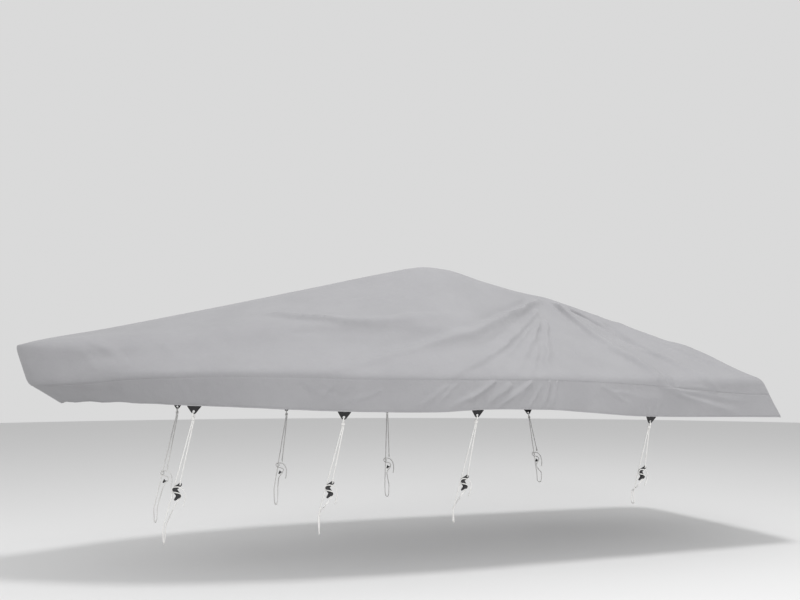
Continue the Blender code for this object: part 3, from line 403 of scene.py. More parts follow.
class Folds:
    """The folds and creases of one side, as lines lying on the smooth shape."""

    def __init__(self, side, rows):
        self.side = side
        round_it, down_it = FOLD_SEARCH
        girth, height = np.meshgrid(np.linspace(0.0, HALF_GIRTH, round_it),
                                    np.linspace(FOLD_SEARCH_TOP, AT_HEM, down_it))
        skin = smooth_shape(girth, height)
        self.lines = [(self.laid_on(skin, fold), fold) for fold in rows]

    def laid_on(self, skin, fold):
        """The fold's centreline as points on the smooth shape."""
        along = np.array((fold.x1 - fold.x0, fold.z1 - fold.z0))
        across = np.array((along[1], -along[0])) / np.hypot(*along)
        line = []
        for share in np.linspace(0.0, 1.0, FOLD_POINTS):
            swing = across * math.sin(math.pi * share) * fold.bow
            line.append(self.nearest(skin, fold.x0 + along[0] * share + swing[0],
                                     fold.z0 + along[1] * share + swing[1]))
        return np.array(line)

    def nearest(self, skin, x, z):
        """The point of this side that shows at x and z from abeam."""
        miss = (skin[..., 0] - x) ** 2 + (skin[..., 2] - z) ** 2
        found = skin[np.unravel_index(np.argmin(miss), miss.shape)].copy()
        found[1] *= self.side
        return found

    def lift(self, points):
        """How far each point is pushed out (positive) or drawn in by the folds."""
        total = np.zeros(points.shape[:-1])
        for number, (line, fold) in enumerate(self.lines):
            middle = (line[0] + line[-1]) / 2
            reach = np.linalg.norm(line - middle, axis=1).max() + FOLD_REACH * fold.width
            close = np.linalg.norm(points - middle, axis=-1) < reach
            total[close] += self.one_lift(points[close], line, fold, number)
        return total

    def one_lift(self, points, line, fold, number):
        """The share of one fold, deeper and wider in some places than in others."""
        nearest = np.full(len(points), 1e9)
        place = np.zeros(len(points))
        for piece, (start, end) in enumerate(zip(line, line[1:])):
            span = end - start
            t = np.clip(((points - start) @ span) / (span @ span + 1e-9), 0.0, 1.0)
            distance = np.linalg.norm(points - start - t[:, None] * span, axis=-1)
            closer = distance < nearest
            nearest = np.where(closer, distance, nearest)
            place = np.where(closer, (piece + t) / (len(line) - 1), place)
        uneven = FOLD_UNEVEN * np.sin(FOLD_BEAT * place + FOLD_OWN_BEAT * number)
        breadth = fold.width * (FOLD_START + (1 - FOLD_START) * place) * (1.0 - uneven)
        fade = np.clip(np.minimum(place / FOLD_IN, (1 - place) / FOLD_OUT), 0.0, 1.0)
        return -fold.depth * (1.0 + uneven) * fade * np.exp(-(nearest / breadth) ** 2)


# ---- how the finished cloth stands off that shape --------------------------------------
MEANDER = 0.004                      # how far a fold strays from its line
MEANDER_LENGTHS, MEANDER_SEEDS = (0.23, 0.31, 0.44), (11, 12, 13)
SLACK = 0.0016                       # soft unevenness of the stretched cloth
SLACK_LENGTHS, SLACK_SEED = (0.19, 0.26, 0.35, 0.47, 0.63, 0.85), 21
END_FADE = 0.15                      # it fades out this near the stem and the stern's middle
PUCKER = 0.0007                      # gathers that the stitching draws in
PUCKER_LENGTHS, PUCKER_SEED = (0.052, 0.067, 0.091, 0.140), 31
PUCKER_REACH = 0.040
BAND = 0.015                         # width of the lapped seam
BAND_RISE = 0.0016
BAND_CREST = 0.02                    # height at which the crest's seam has its full rise
SEAM_ROLL = 0.0005                   # the panel's edge turns in this far at the seam
SEAM_ROLL_REACH = 0.005
HEM = 0.018                          # depth of the turned-up hem
HEM_RISE, HEM_FULLNESS = 0.0024, 0.6
SWING = 0.0045                       # the free hem waves in and out between its ties
SWING_LENGTHS, SWING_SEED = (0.29, 0.41, 0.58, 0.83), 41
SWING_HELD = 0.14                    # a tie holds the hem still over this length
SWING_GROWTH = 1.5                   # the power by which it grows down the skirt
# Creases that fan up from a tie: how far aft of it each starts, leans, and its depth.
Pull = namedtuple("Pull", "aft lean depth")
PULLS = [Pull(*row) for row in (
    (-0.045, -0.06, 0.0050),
    (0.000, 0.02, 0.0035),
    (0.046, 0.09, 0.0045),
)]
PULL_FOOT, PULL_RISE = 0.01, 0.17    # above the hem
PULL_BOW, PULL_WIDTH = 0.01, 0.024
HEM_STEPS = 4000                     # places in which a tie's place on the hem is found


def girth_at_hem(x):
    """The distance around at which the hem of one side has this x."""
    girth = np.linspace(0.0, GIRTH[LAST_SIDE_SECTION], HEM_STEPS)
    return float(np.interp(x, read("hem_x", girth), girth))


def tie_pulls(side):
    """The creases that fan up the skirt from each tie."""
    rows = []
    for tie in TIES:
        foot = float(read("hem_z", girth_at_hem(tie.tab_x)))
        for pull in PULLS:
            start = tie.tab_x + pull.aft
            rows.append(Fold(start, foot + PULL_FOOT, start + pull.lean * side * PORT,
                             foot + PULL_RISE, PULL_BOW, PULL_WIDTH, pull.depth))
    return rows


FOLDS_OF = {
    PORT: Folds(PORT, PORT_FOLDS + PORT_CREASES + tie_pulls(PORT)),
    STARBOARD: Folds(STARBOARD, STARBOARD_FOLDS + STARBOARD_CREASES + tie_pulls(STARBOARD)),
}


def rise(distance, width, soft=0.2):
    """A raised strip: 1 up to a width, then softly down to 0."""
    t = np.clip((distance / width - 1.0) / soft, 0.0, 1.0)
    return 1.0 - t * t * (3.0 - 2.0 * t)


def relief(around, height, smooth):
    """How far the finished cloth stands off the smooth shape."""
    place = wrapped(around)
    stray = np.stack([waves(smooth, MEANDER_LENGTHS, seed) for seed in MEANDER_SEEDS], axis=-1)
    strayed = smooth + MEANDER * stray
    lift = np.where(place < 0, FOLDS_OF[PORT].lift(strayed), FOLDS_OF[STARBOARD].lift(strayed))
    lift += SLACK * waves(smooth, SLACK_LENGTHS, SLACK_SEED)
    from_ends = np.minimum(np.abs(place), HALF_GIRTH - np.abs(place))
    lift *= np.clip(height, 0.0, 1.0) * np.clip(from_ends / END_FADE, 0.0, 1.0)
    gap = {level: np.linalg.norm(smooth - at_side(around, np.full_like(height, level)), axis=-1)
           for level in (0.0, AT_SEAM, AT_HEM)}
    gathers = waves(place[..., None] * np.ones(3), PUCKER_LENGTHS, PUCKER_SEED)
    sewn = np.minimum(gap[AT_SEAM], gap[AT_HEM])
    lift += PUCKER * gathers * np.exp(-sewn / PUCKER_REACH)
    on_skirt = height > AT_SEAM
    swing = waves(place[..., None] * np.ones(3), SWING_LENGTHS, SWING_SEED)
    for tie in TIES:
        from_tie = (np.abs(place) - girth_at_hem(tie.tab_x)) / SWING_HELD
        swing *= 1.0 - np.exp(-from_tie ** 2)
    swing *= np.clip(height - AT_SEAM, 0.0, 1.0) ** SWING_GROWTH
    lift += np.where(on_skirt, SWING * swing, 0.0)
    lift += np.where(on_skirt, BAND_RISE * rise(gap[AT_SEAM], BAND), 0.0)
    roll = np.exp(-(gap[AT_SEAM] / SEAM_ROLL_REACH) ** 2)
    lift -= np.where(on_skirt, 0.0, SEAM_ROLL * roll)
    aft_seam = np.where(np.abs(place) > GIRTH_AT_POLE, np.abs(smooth[..., 1]), 1.0)
    lift += np.where(on_skirt, 0.0, BAND_RISE * rise(aft_seam, BAND) * np.clip(height, 0.0, 1.0))
    rounding = np.sin(np.pi * np.clip(gap[AT_HEM] / HEM, 0.0, 1.0)) ** HEM_FULLNESS
    lift += np.where(on_skirt, HEM_RISE * rounding, 0.0)
    lift += BAND_RISE * rise(gap[0.0], BAND) * np.clip(height / BAND_CREST, 0.0, 1.0)
    return lift


def cover(around, height):
    """The finished cloth at a signed distance around and a height on the section."""
    smooth = at_side(around, height)
    return smooth + normal_of(around, height) * relief(around, height, smooth)[..., None]


def shifted(position):
    """From the boat's frame to the part's own."""
    return Vector(position) - Vector(REST_POINT)


class Signal:
    """A number that varies over a surface, on which sums and products can be written."""

    def __init__(self, finish, socket):
        self.finish, self.socket = finish, socket

    def worked(self, operation, *values):
        return self.finish.node("Math", {"operation": operation},
                                dict(zip(("Value", "Value_001"), values)))["Value"]

    def __add__(self, other):
        return self.worked("ADD", self, other)

    def __mul__(self, other):
        return self.worked("MULTIPLY", self, other)

    def __sub__(self, other):
        return self.worked("SUBTRACT", self, other)

    def __rsub__(self, other):
        return self.worked("SUBTRACT", other, self)

    __radd__, __rmul__ = __add__, __mul__

    def sine(self):
        return self.worked("SINE", self)

    def size(self):
        return self.worked("ABSOLUTE", self)


Places = namedtuple("Places", "room flat across down")


class Finish:
    """A material, and the one way in which nodes are added to it."""

    def __init__(self, name):
        self.material = bpy.data.materials.new(name)
        self.material.use_nodes = True
        self.tree = self.material.node_tree
        self.shader = self.tree.nodes["Principled BSDF"]

    def node(self, kind, settings=None, inputs=None):
        """Add a node; its outputs come back by name."""
        made = self.tree.nodes.new("ShaderNode" + kind)
        for name, value in (settings or {}).items():
            setattr(made, name, value)
        sockets = {socket.identifier: socket for socket in made.inputs}
        for name, value in (inputs or {}).items():
            self.feed(sockets[name], value)
        return {socket.identifier: Signal(self, socket) for socket in made.outputs}

    def feed(self, socket, value):
        if isinstance(value, Signal):
            self.tree.links.new(value.socket, socket)
        else:
            socket.default_value = value

    def give(self, values):
        """Give the surface's own inputs a number, a colour or a signal each, by name."""
        for name, value in values.items():
            self.feed(self.shader.inputs[name], value)

    def colour(self, low, high, mask):
        """Base colour between two colours, by a mask from 0 to 1."""
        mixed = self.node("Mix", {"data_type": "RGBA"},
                          {"Factor_Float": mask, "A_Color": (*low, 1.0), "B_Color": (*high, 1.0)})
        self.give({"Base Color": mixed["Result_Color"]})

    def bump(self, *layers):
        """Relief in metres: each layer is a height from about -1 to 1 and its distance."""
        normal = None
        for height, distance in layers:
            inputs = {"Height": height, "Distance": distance, "Strength": 1.0}
            if normal:
                inputs["Normal"] = normal
            normal = self.node("Bump", None, inputs)["Normal"]
        self.give({"Normal": normal})

    def noise(self, vector, scale, detail=2.0, roughness=0.5):
        return self.node("TexNoise", None, {"Vector": vector, "Scale": scale, "Detail": detail,
                                            "Roughness": roughness})["Fac"]

    def places(self):
        """Where the surface is: in the room, and on the piece's own UV map."""
        spots = self.node("TexCoord")
        parts = self.node("SeparateXYZ", None, {"Vector": spots["UV"]})
        return Places(spots["Object"], spots["UV"], parts["X"], parts["Y"])


CRISP_EDGE = 50                      # degrees; folds stay soft, the cut edge doesn't
THREAD_PITCH = 0.0011                # plain weave, two threads to a repeat
MOTTLE_TONE, YARN_TONE, WEAVE_TONE = 1.6, 0.9, 0.10    # their shares in the colour
CRUMPLE, CREASING = 0.006, 0.0012    # reliefs of the cloth
YARN_RELIEF, WEAVE_RELIEF = 0.00008, 0.00010
CLOTH_DARK, CLOTH_LIGHT = (0.281, 0.279, 0.290), (0.319, 0.317, 0.328)


def woven_polyester():
    """Matt grey woven cloth: fine plain weave, slight mottle and a soft crumple."""
    finish = Finish("cover_cloth_woven")
    at = finish.places()
    turn = 2 * math.pi / THREAD_PITCH
    weave = (at.across * turn).sine() * (at.down * turn).sine()
    yarn = finish.noise(at.flat, scale=900.0, detail=1.0)
    crumple = finish.noise(at.room, scale=7.0, detail=4.0, roughness=0.55)
    creased = finish.noise(at.room, scale=32.0, detail=3.0, roughness=0.6)
    mottle = finish.noise(at.room, scale=2.2, detail=5.0, roughness=0.6)
    shade = (mottle - 0.5) * MOTTLE_TONE + (yarn - 0.5) * YARN_TONE + weave * WEAVE_TONE + 0.5
    finish.colour(CLOTH_DARK, CLOTH_LIGHT, shade)
    finish.give({"Roughness": mottle * 0.08 + 0.80, "Specular IOR Level": 0.3,
                 "Sheen Weight": 0.12, "Sheen Roughness": 0.5})
    finish.bump((crumple, CRUMPLE), (creased, CREASING), (yarn, YARN_RELIEF),
                (weave, WEAVE_RELIEF))
    return finish.material


def add_piece(name, mesh, surface):
    """A finished piece: at the origin, on the cover's one body."""
    piece = bpy.data.objects.new(name, mesh)
    bpy.context.scene.collection.objects.link(piece)
    mesh.materials.clear()
    mesh.materials.append(surface)
    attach(piece, "root")
    return piece


def select_only(active, *others):
    """Select these pieces and nothing else, the first of them active."""
    bpy.ops.object.select_all(action="DESELECT")
    for piece in (active, *others):
        piece.select_set(True)
    bpy.context.view_layer.objects.active = active


def apply_modifier(piece, kind, **settings):
    modifier = piece.modifiers.new(kind.lower(), kind)
    for name, value in settings.items():
        setattr(modifier, name, value)
    select_only(piece)
    bpy.ops.object.modifier_apply(modifier=modifier.name)


def thicken(sheet):
    """Give a sheet the cloth's thickness, inward, with crisp cut edges."""
    apply_modifier(sheet, "SOLIDIFY", thickness=CLOTH, offset=-1.0)
    bpy.ops.object.shade_smooth_by_angle(angle=math.radians(CRISP_EDGE))


def grid_mesh(name, points, flat, closed=False):
    """A smooth mesh over a grid of points, with the UVs of a grid of flat places.

    Where all the first points of neighbouring columns are the same, they are one corner.
    """
    columns, rows = points.shape[:2]
    number = np.arange(columns * rows).reshape(columns, rows)
    for i in range(1, columns):
        if np.allclose(points[i, 0], points[i - 1, 0], atol=1e-7):
            number[i, 0] = number[i - 1, 0]
    used, compact = np.unique(number, return_inverse=True)
    compact = compact.reshape(columns, rows)
    faces, spots = [], []
    last = columns if closed else columns - 1
    for i in range(last):
        after = (i + 1) % columns
        for j in range(rows - 1):
            keys = [(i, j), (i, j + 1), (after, j + 1), (after, j)]
            if compact[i, j] == compact[after, j]:
                keys.pop()
            faces.append([int(compact[key]) for key in keys])
            wraps = closed and after == 0
            spots.extend(flat[columns, key[1]] if wraps and key[0] == 0 else flat[key]
                         for key in keys)
    mesh = bpy.data.meshes.new(name)
    corners = points.reshape(-1, 3)[used] - np.array(REST_POINT)
    mesh.from_pydata(corners.tolist(), [], faces)
    layer = mesh.uv_layers.new(name="flat")
    layer.data.foreach_set("uv", np.array(spots, dtype=np.float32).ravel())
    mesh.shade_smooth()
    return mesh


def spread(stops, counts):
    """Places between each two stops, evenly, a given number to each stretch."""
    places = [stops[0]]
    for start, end, count in zip(stops, stops[1:], counts):
        places.extend(np.linspace(start, end, count + 1)[1:])
    return np.array(places)


FAN_MIDDLE, FAN_REACH, FAN_CROWD = girth_at_hem(4.4), 0.9, 1.8
CROWD_STEPS = 2000                   # places in which the columns are shared out


def crowded(start, end, count):
    """Places around the cover, closer together where the folds fan out."""
    around = np.linspace(start, end, CROWD_STEPS)
    crowd = 1.0 + FAN_CROWD * np.exp(-((np.abs(around) - FAN_MIDDLE) / FAN_REACH) ** 2)
    return np.interp(np.linspace(crowd[0], crowd.sum(), count), np.cumsum(crowd), around)


def keep_to(side, skin):
    """Hold a panel's points back from the middle, where it meets the other side's."""
    skin[..., 1] = side * np.maximum(side * skin[..., 1], SEAM_GAP / 2)


TOP_COLUMNS = 475
TOP_HEIGHTS = spread((0.0, 0.03, 0.11, 1.0, 2.0, 3.0, 4.0, 5.0, 5.8, 5.94, 6.0),
                     (2, 5, 8, 26, 12, 26, 8, 4, 3, 3))

woven = woven_polyester()
for side, label in SIDES.items():
    around = np.sort(side * crowded(0.0, HALF_GIRTH, TOP_COLUMNS))
    columns, heights = np.meshgrid(around, TOP_HEIGHTS, indexing="ij")
    skin = cover(columns, heights)
    keep_to(side, skin)
    from_pole = np.abs(around) >= GIRTH_AT_POLE
    skin[from_pole, 0] = skin[from_pole, 0].mean(axis=0)
    warp = np.stack((skin[..., 0], side * skin[..., 1] - skin[..., 2]), axis=-1)
    top = add_piece("top_panel_" + label, grid_mesh("top_panel", skin, warp), woven)
    thicken(top)
    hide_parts("top_" + label)

# ======================================================================================
# Skirt
# Straight lengths of the same cloth, one down each side and one across the stern, lapped
# under the top and sewn with two rows; the bottom edge is turned up and hemmed.
# ======================================================================================
SKIRT_PITCH = 0.015                  # from column to column
SKIRT_HEIGHTS = spread((6.0, 6.06, 6.09, 6.9, 6.935, 7.0), (3, 3, 17, 3, 6))
SKIRT_HEIGHTS[0] += 0.002            # its raw edge lies just under the top's
CORNER = GIRTH[CORNER_SECTION]


def skirt(name, start, end, replaced, side=0):
    around = crowded(start, end, round((end - start) / SKIRT_PITCH))
    columns, heights = np.meshgrid(around, SKIRT_HEIGHTS, indexing="ij")
    skin = cover(columns, heights)
    if side:
        keep_to(side, skin)
    drop = np.linalg.norm(skin - skin[:, :1], axis=-1)
    piece = add_piece(name, grid_mesh(name, skin, np.stack((columns, drop), axis=-1)), woven)
    thicken(piece)
    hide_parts(replaced)


skirt("side_skirt_port", -CORNER + SEAM_GAP, 0.0, "skirt_port", PORT)
skirt("side_skirt_starboard", 0.0, CORNER - SEAM_GAP, "skirt_starboard",
      STARBOARD)
skirt("stern_skirt", CORNER + SEAM_GAP, 2 * HALF_GIRTH - CORNER - SEAM_GAP, "skirt_transom")

# ======================================================================================
# Stitching
# Bonded polyester thread in lockstitch: two rows through the lapped seam, two along the
# crest and one that holds the hem. Each stitch is a small raised spindle.
# ======================================================================================
STITCH_PITCH, STITCH_LENGTH, STITCH_WIDTH = 0.008, 0.0056, 0.0010
THREAD_DARK, THREAD_LIGHT = (0.33, 0.33, 0.34), (0.42, 0.42, 0.43)
THREAD_RELIEF = 0.0001
ROW_STEP = 0.005                     # between the points of a row
SEAM_ROWS = (0.003, 0.0115)          # below the skirt's upper edge
CREST_ROWS = (0.03, 0.07)            # heights of the rows along the crest
CREST_START = 0.05                   # they start this far from the stem
AFT_ROWS = (0.004, 0.0115)           # out from the centre seam aft of the pole
AFT_TOP, AFT_FOOT, AFT_STEPS = 1.0, 5.9, 500     # their heights and how many points
NEAR_SEAM = 0.1                      # the shape is as good as straight this near the seam


def bonded_thread():
    finish = Finish("thread_bonded")
    finish.give({"Roughness": 0.5})
    at = finish.places()
    finish.colour(THREAD_DARK, THREAD_LIGHT, finish.noise(at.room, scale=40.0))
    finish.bump((finish.noise(at.room, scale=1500.0), THREAD_RELIEF))
    return finish.material


def run_along(points):
    """How far along a line each of its points lies."""
    return np.concatenate(([0.0], np.cumsum(np.linalg.norm(np.diff(points, axis=0), axis=1))))


def read_along(place, run, values):
    """What a line's values are at a distance along it, or at several."""
    return np.stack([np.interp(place, run, values[:, axis]) for axis in range(3)], axis=-1)


def stitches(name, rows):
    """Stitches along rows; a row is its points in the boat's frame and their normals."""
    corners, faces = [], []
    for points, normals in rows:
        run = run_along(points)
        for place in np.arange(STITCH_PITCH, run[-1] - STITCH_PITCH, STITCH_PITCH):
            spots = place + STITCH_LENGTH / 2 * np.array((-1.0, 0.0, 1.0))
            start, middle, end = read_along(spots, run, points)
            out = read_along(place, run, normals)
            across = np.cross(end - start, out)
            across *= STITCH_WIDTH / 2 / np.linalg.norm(across)
            first = len(corners)
            corners += [start, end, middle + across, middle - across,
                        middle + out * STITCH_WIDTH, middle - out * STITCH_WIDTH / 2]
            for a, b in ((2, 4), (4, 3), (3, 5), (5, 2)):
                faces += [(first, first + a, first + b), (first + 1, first + b, first + a)]
    mesh = bpy.data.meshes.new(name)
    mesh.from_pydata([tuple(shifted(corner)) for corner in corners], [], faces)
    mesh.shade_smooth()
    return mesh


def cloth_row(start, end, height=None, below_seam=None, above_hem=None):
    """A row on the cloth, at a height or at a distance from the skirt's seam or hem."""
    around = np.linspace(start, end, max(int(abs(end - start) / ROW_STEP), 2))
    if height is None:
        depth = np.linalg.norm(at_side(around, np.full_like(around, AT_HEM))
                               - at_side(around, np.full_like(around, AT_SEAM)), axis=-1)
        height = AT_HEM - above_hem / depth if above_hem else AT_SEAM + below_seam / depth
    heights = np.broadcast_to(height, around.shape).copy()
    return cover(around, heights), normal_of(around, heights)


def aft_seam_row(side, off_centre):
    """A row beside the centre seam, from the pole down to the stern."""
    heights = np.linspace(AFT_TOP, AFT_FOOT, AFT_STEPS)
    near = side * (HALF_GIRTH - NEAR_SEAM)
    width = np.abs(at_side(np.full_like(heights, near), heights)[..., 1])
    around = side * (HALF_GIRTH - NEAR_SEAM * off_centre / width)
    return cover(around, heights), normal_of(around, heights)


thread = bonded_thread()
SIDE_RUNS = ((-CORNER, 0.0), (0.0, CORNER), (CORNER, 2 * HALF_GIRTH - CORNER))
seam_rows = [cloth_row(*run, below_seam=drop) for run in SIDE_RUNS for drop in SEAM_ROWS]
hem_rows = [cloth_row(*run, above_hem=HEM) for run in SIDE_RUNS]
crest_rows = [cloth_row(side * CREST_START, side * GIRTH_AT_POLE, height=height)
              for side in SIDES for height in CREST_ROWS]
crest_rows += [aft_seam_row(side, off_centre) for side in SIDES for off_centre in AFT_ROWS]
for name, rows in (("seam_stitching", seam_rows), ("hem_stitching", hem_rows),
                   ("crest_stitching", crest_rows)):
    add_piece(name, stitches(name, rows), thread)

# ======================================================================================
# Hem tabs
# Black webbing, cut to a taper, with an overcast eye near the tip; sewn under the hem
# where a rope ties the cover down. The rope's run is worked out here, tab first.
# ======================================================================================
ROPE = 0.010                         # rope diameter
SEAT = 0.0004                        # clearance between pieces that touch
RAIL_WIDTH = 0.050
RAIL_CLEAR = 0.002                   # the rope passes this far from the rail
RAIL_MET = 0.004                     # and comes to it this far under its top
TAB_WIDTH = 0.115
TAB_TIP_WIDTH = 0.044
TAB_DROP = 0.066
TAB_CHAMFER = 0.010                  # the cut-off corners of the tip
TAB_THICKNESS = 0.003
TAB_LEAN = 0.2                       # share of the rope's forward slant that a tab takes
EYE_RADIUS = 0.0105                  # hole in the tab for the rope's bight
EYE_ABOVE_TIP = 0.019
EYE_SIDES = 12
BIGHT_RADIUS = 0.017                 # the rope ring through the tab
STRAND_SPREAD = 0.0058               # half the distance between the strands at the knot
PLATE = 0.008                        # tensioner plate thickness
PLATE_AFT = 0.034                    # the plate's middle lies this far aft of the long strand
PLATE_CLEAR = 0.004                  # and this far outboard of it
BOLLARD_RADIUS = 0.0145
BOLLARD_HEIGHT = 0.013
KNOT_DROP = 0.036                    # length of the knot under the bight
# The tensioner's S-shaped plate: round lobes joined by bars, seen from outboard, with a
# bollard on each of the two middle lobes.
Lobe = namedtuple("Lobe", "x z radius")
LOBES = [Lobe(*row) for row in (
    (0.020, 0.058, 0.0150),
    (-0.026, 0.022, 0.0190),
    (0.012, -0.034, 0.0190),
    (-0.016, -0.066, 0.0090),
)]
EYE_LOBE, HIGH_LOBE, LOW_LOBE = LOBES[:3]
# The long strand's way round the rail: down its outer face, under it and up its inner face.
# Each row is x from the tie's rail_x, the face of the rail and the distance out from it,
# and the end of the rail's height and the distance up from it.
OUTER, INNER, TOP, BOTTOM = "outer", "inner", "top", "bottom"
RailRow = namedtuple("RailRow", "x face out level up")
RAIL_TURN = [RailRow(*row) for row in (
    (0.003, OUTER, 0.000, BOTTOM, 0.050),
    (0.005, OUTER, 0.000, BOTTOM, 0.022),
    (0.008, OUTER, -0.006, BOTTOM, 0.006),
    (0.011, OUTER, -0.022, BOTTOM, 0.000),
    (0.015, INNER, 0.022, BOTTOM, 0.000),
    (0.018, INNER, 0.006, BOTTOM, 0.006),
    (0.021, INNER, 0.000, BOTTOM, 0.022),
    (0.025, INNER, 0.000, TOP, -0.020),
    (0.026, INNER, 0.003, TOP, 0.008),
)]
# Its way on the tensioner, in the tensioner's own frame (x aft, z up along the tie): it
# comes up from the rail, bends round both bollards, and its free end hangs.
BOLLARD_SLACK = 0.0009
BOLLARD_TURN = BOLLARD_RADIUS + ROPE / 2 + BOLLARD_SLACK
RISE = ((-0.024, -0.125), (-0.004, -0.088))
LOW_TURN_DEGREES = (-35, -9, 17, 43, 70)
HIGH_TURN_DEGREES = (250, 223, 196, 169, 142, 115, 88)
STRAIGHT = (0.06, 0.3, 0.6, 0.94)    # places on a straight run between two bends
FREE_END = ((0.006, 0.041), (0.034, 0.030), (0.055, 0.002), (0.064, -0.036), (0.061, -0.082),
            (0.050, -0.125))


class Tie:
    """Where the pieces of one tie go, from the hem down, in the boat's frame."""

    def __init__(self, side, row):
        self.side, self.row = side, row
        around = np.array([side * girth_at_hem(row.tab_x + share * TAB_WIDTH)
                           for share in (-0.5, 0.0, 0.5)])
        height = np.full(3, AT_HEM)
        outward = [Vector(normal) for normal in normal_of(around, height)]
        self.top_edge = []
        for spot, normal in zip(cover(around, height), outward):
            spot = Vector(spot) - normal * (CLOTH - TAB_THICKNESS) / 2
            spot.z -= SEAT + CLOTH * abs(normal.z)
            self.top_edge.append(spot)
        # the tab hangs towards the rail, leaning a little with the rope
        pull = Vector((row.rail_x, side * row.rail_y, row.rail_top)) - self.top_edge[1]
        pull = Vector((pull.x * TAB_LEAN, pull.y, pull.z)).normalized()
        self.up = -pull
        self.tip = self.top_edge[1] + pull * TAB_DROP
        self.face_out = (outward[1] - pull * outward[1].dot(pull)).normalized()
        # the bight hangs on the lower edge of the eye, the knot below it
        sunk = BIGHT_RADIUS - ROPE / 2 - (EYE_ABOVE_TIP - EYE_RADIUS) - SEAT
        self.bight = self.tip - self.face_out * (TAB_THICKNESS / 2) + pull * sunk
        foot = self.bight + pull * (BIGHT_RADIUS + KNOT_DROP + SEAT)
        # two strands leave the knot side by side
        aft = Vector((1.0, 0.0, 0.0))
        apart = (aft - pull * aft.dot(pull)).normalized() * STRAND_SPREAD
        self.long_top, self.short_top = foot - apart, foot + apart
        self.rail_outer_y = side * (row.rail_y + ROPE / 2 + RAIL_CLEAR)
        self.rail_inner_y = side * (row.rail_y - RAIL_WIDTH - ROPE / 2 - RAIL_CLEAR)
        self.on_rail = Vector((row.rail_x, self.rail_outer_y, row.rail_top - RAIL_MET))
        # the tensioner lies just outboard and aft of the long strand, leaning with it
        strand = self.long_top - self.on_rail
        self.aft = aft
        self.lean = Vector((0.0, strand.y, strand.z)).normalized()
        self.outboard = aft.cross(self.lean) * -side
        share = (row.tensioner_z - self.on_rail.z) / strand.z
        self.hub = self.on_rail + strand * share + aft * PLATE_AFT
        self.hub += self.outboard * ((PLATE + ROPE) / 2 + PLATE_CLEAR)

    def on_plate(self, x, z, out=0.0):
        """A place given in the tensioner's own frame."""
        return self.hub + self.aft * x + self.lean * z + self.outboard * out

    def tab_outline(self):
        """Points round the tab and round its eye, anticlockwise from the top of each."""
        left, middle, right = self.top_edge
        across = right - left
        across = (across - self.up * across.dot(self.up)).normalized()
        half_tip = across * (TAB_TIP_WIDTH / 2)
        chamfer = across * (TAB_TIP_WIDTH / 2 - TAB_CHAMFER)
        low_left = self.tip - half_tip + self.up * TAB_CHAMFER
        low_right = self.tip + half_tip + self.up * TAB_CHAMFER
        outline = [middle, middle.lerp(left, 0.5), left, left.lerp(low_left, 0.5), low_left,
                   self.tip - chamfer, self.tip, self.tip + chamfer, low_right,
                   right.lerp(low_right, 0.5), right, right.lerp(middle, 0.5)]
        eye = self.tip + self.up * EYE_ABOVE_TIP
        turns = [math.pi / 2 + 2 * math.pi * k / EYE_SIDES for k in range(EYE_SIDES)]
        hole = [eye + (across * math.cos(turn) + self.up * math.sin(turn)) * EYE_RADIUS
                for turn in turns]
        return outline, hole

    def short_route(self):
        """The strand from the knot to the top of the tensioner."""
        end = self.on_plate(EYE_LOBE.x, EYE_LOBE.z + EYE_LOBE.radius + SEAT)
        start = self.short_top - self.up * ROPE
        return [self.short_top, start, *(start.lerp(end, share) for share in STRAIGHT), end]

    def long_route(self):
        """The strand from the knot round the rail and up to the tensioner's bollards."""
        start = self.long_top - self.up * ROPE
        route = [self.long_top, start, *(start.lerp(self.on_rail, share) for share in STRAIGHT),
                 self.on_rail]
        under = self.row.rail_bottom - ROPE / 2 - RAIL_CLEAR
        for spot in RAIL_TURN:
            face_y = self.rail_outer_y if spot.face == OUTER else self.rail_inner_y
            level_z = self.row.rail_top if spot.level == TOP else under
            route.append(Vector((self.row.rail_x + spot.x, face_y + self.side * spot.out,
                                 level_z + spot.up)))
        clear = (PLATE + ROPE) / 2 + SEAT
        winding = [*RISE, *around_bollard(LOW_LOBE, LOW_TURN_DEGREES),
                   *around_bollard(HIGH_LOBE, HIGH_TURN_DEGREES), *FREE_END]
        winding = [self.on_plate(x, z, clear) for x, z in winding]
        rise = [route[-1].lerp(winding[0], share) for share in STRAIGHT]
        return [*route, *rise, *winding]


def around_bollard(lobe, degrees):
    """Points of the rope's centreline round one bollard."""
    return [(lobe.x + BOLLARD_TURN * math.cos(math.radians(angle)),
             lobe.z + BOLLARD_TURN * math.sin(math.radians(angle))) for angle in degrees]


TAB_SPOKES, TAB_RINGS = 96, 16
RIM_SHARES, NEXT_SHARE = (0.0, 0.02, 0.05, 0.1), 0.2   # rings of points, close at the rim
TAB_RIM = 0.0016                     # the heat-cut edges are rounded over this much
TAB_RIM_ROUND = 0.75                 # by this much of a full round
CORNER_ROUNDS = 2                    # rounds of smoothing that ease the tab's corners
EYE_RING, EYE_RING_RISE = 0.0042, 0.0007   # overcast thread round the eye
TAB_STITCH_IN = 0.0045
RIB_PITCH = 0.0021                   # ribs of the webbing
RIB_RELIEF, PICK_RELIEF, FUZZ_RELIEF = 0.0003, 0.00035, 0.0002
TAB_DARK, TAB_LIGHT = (0.011, 0.011, 0.012), (0.030, 0.030, 0.032)


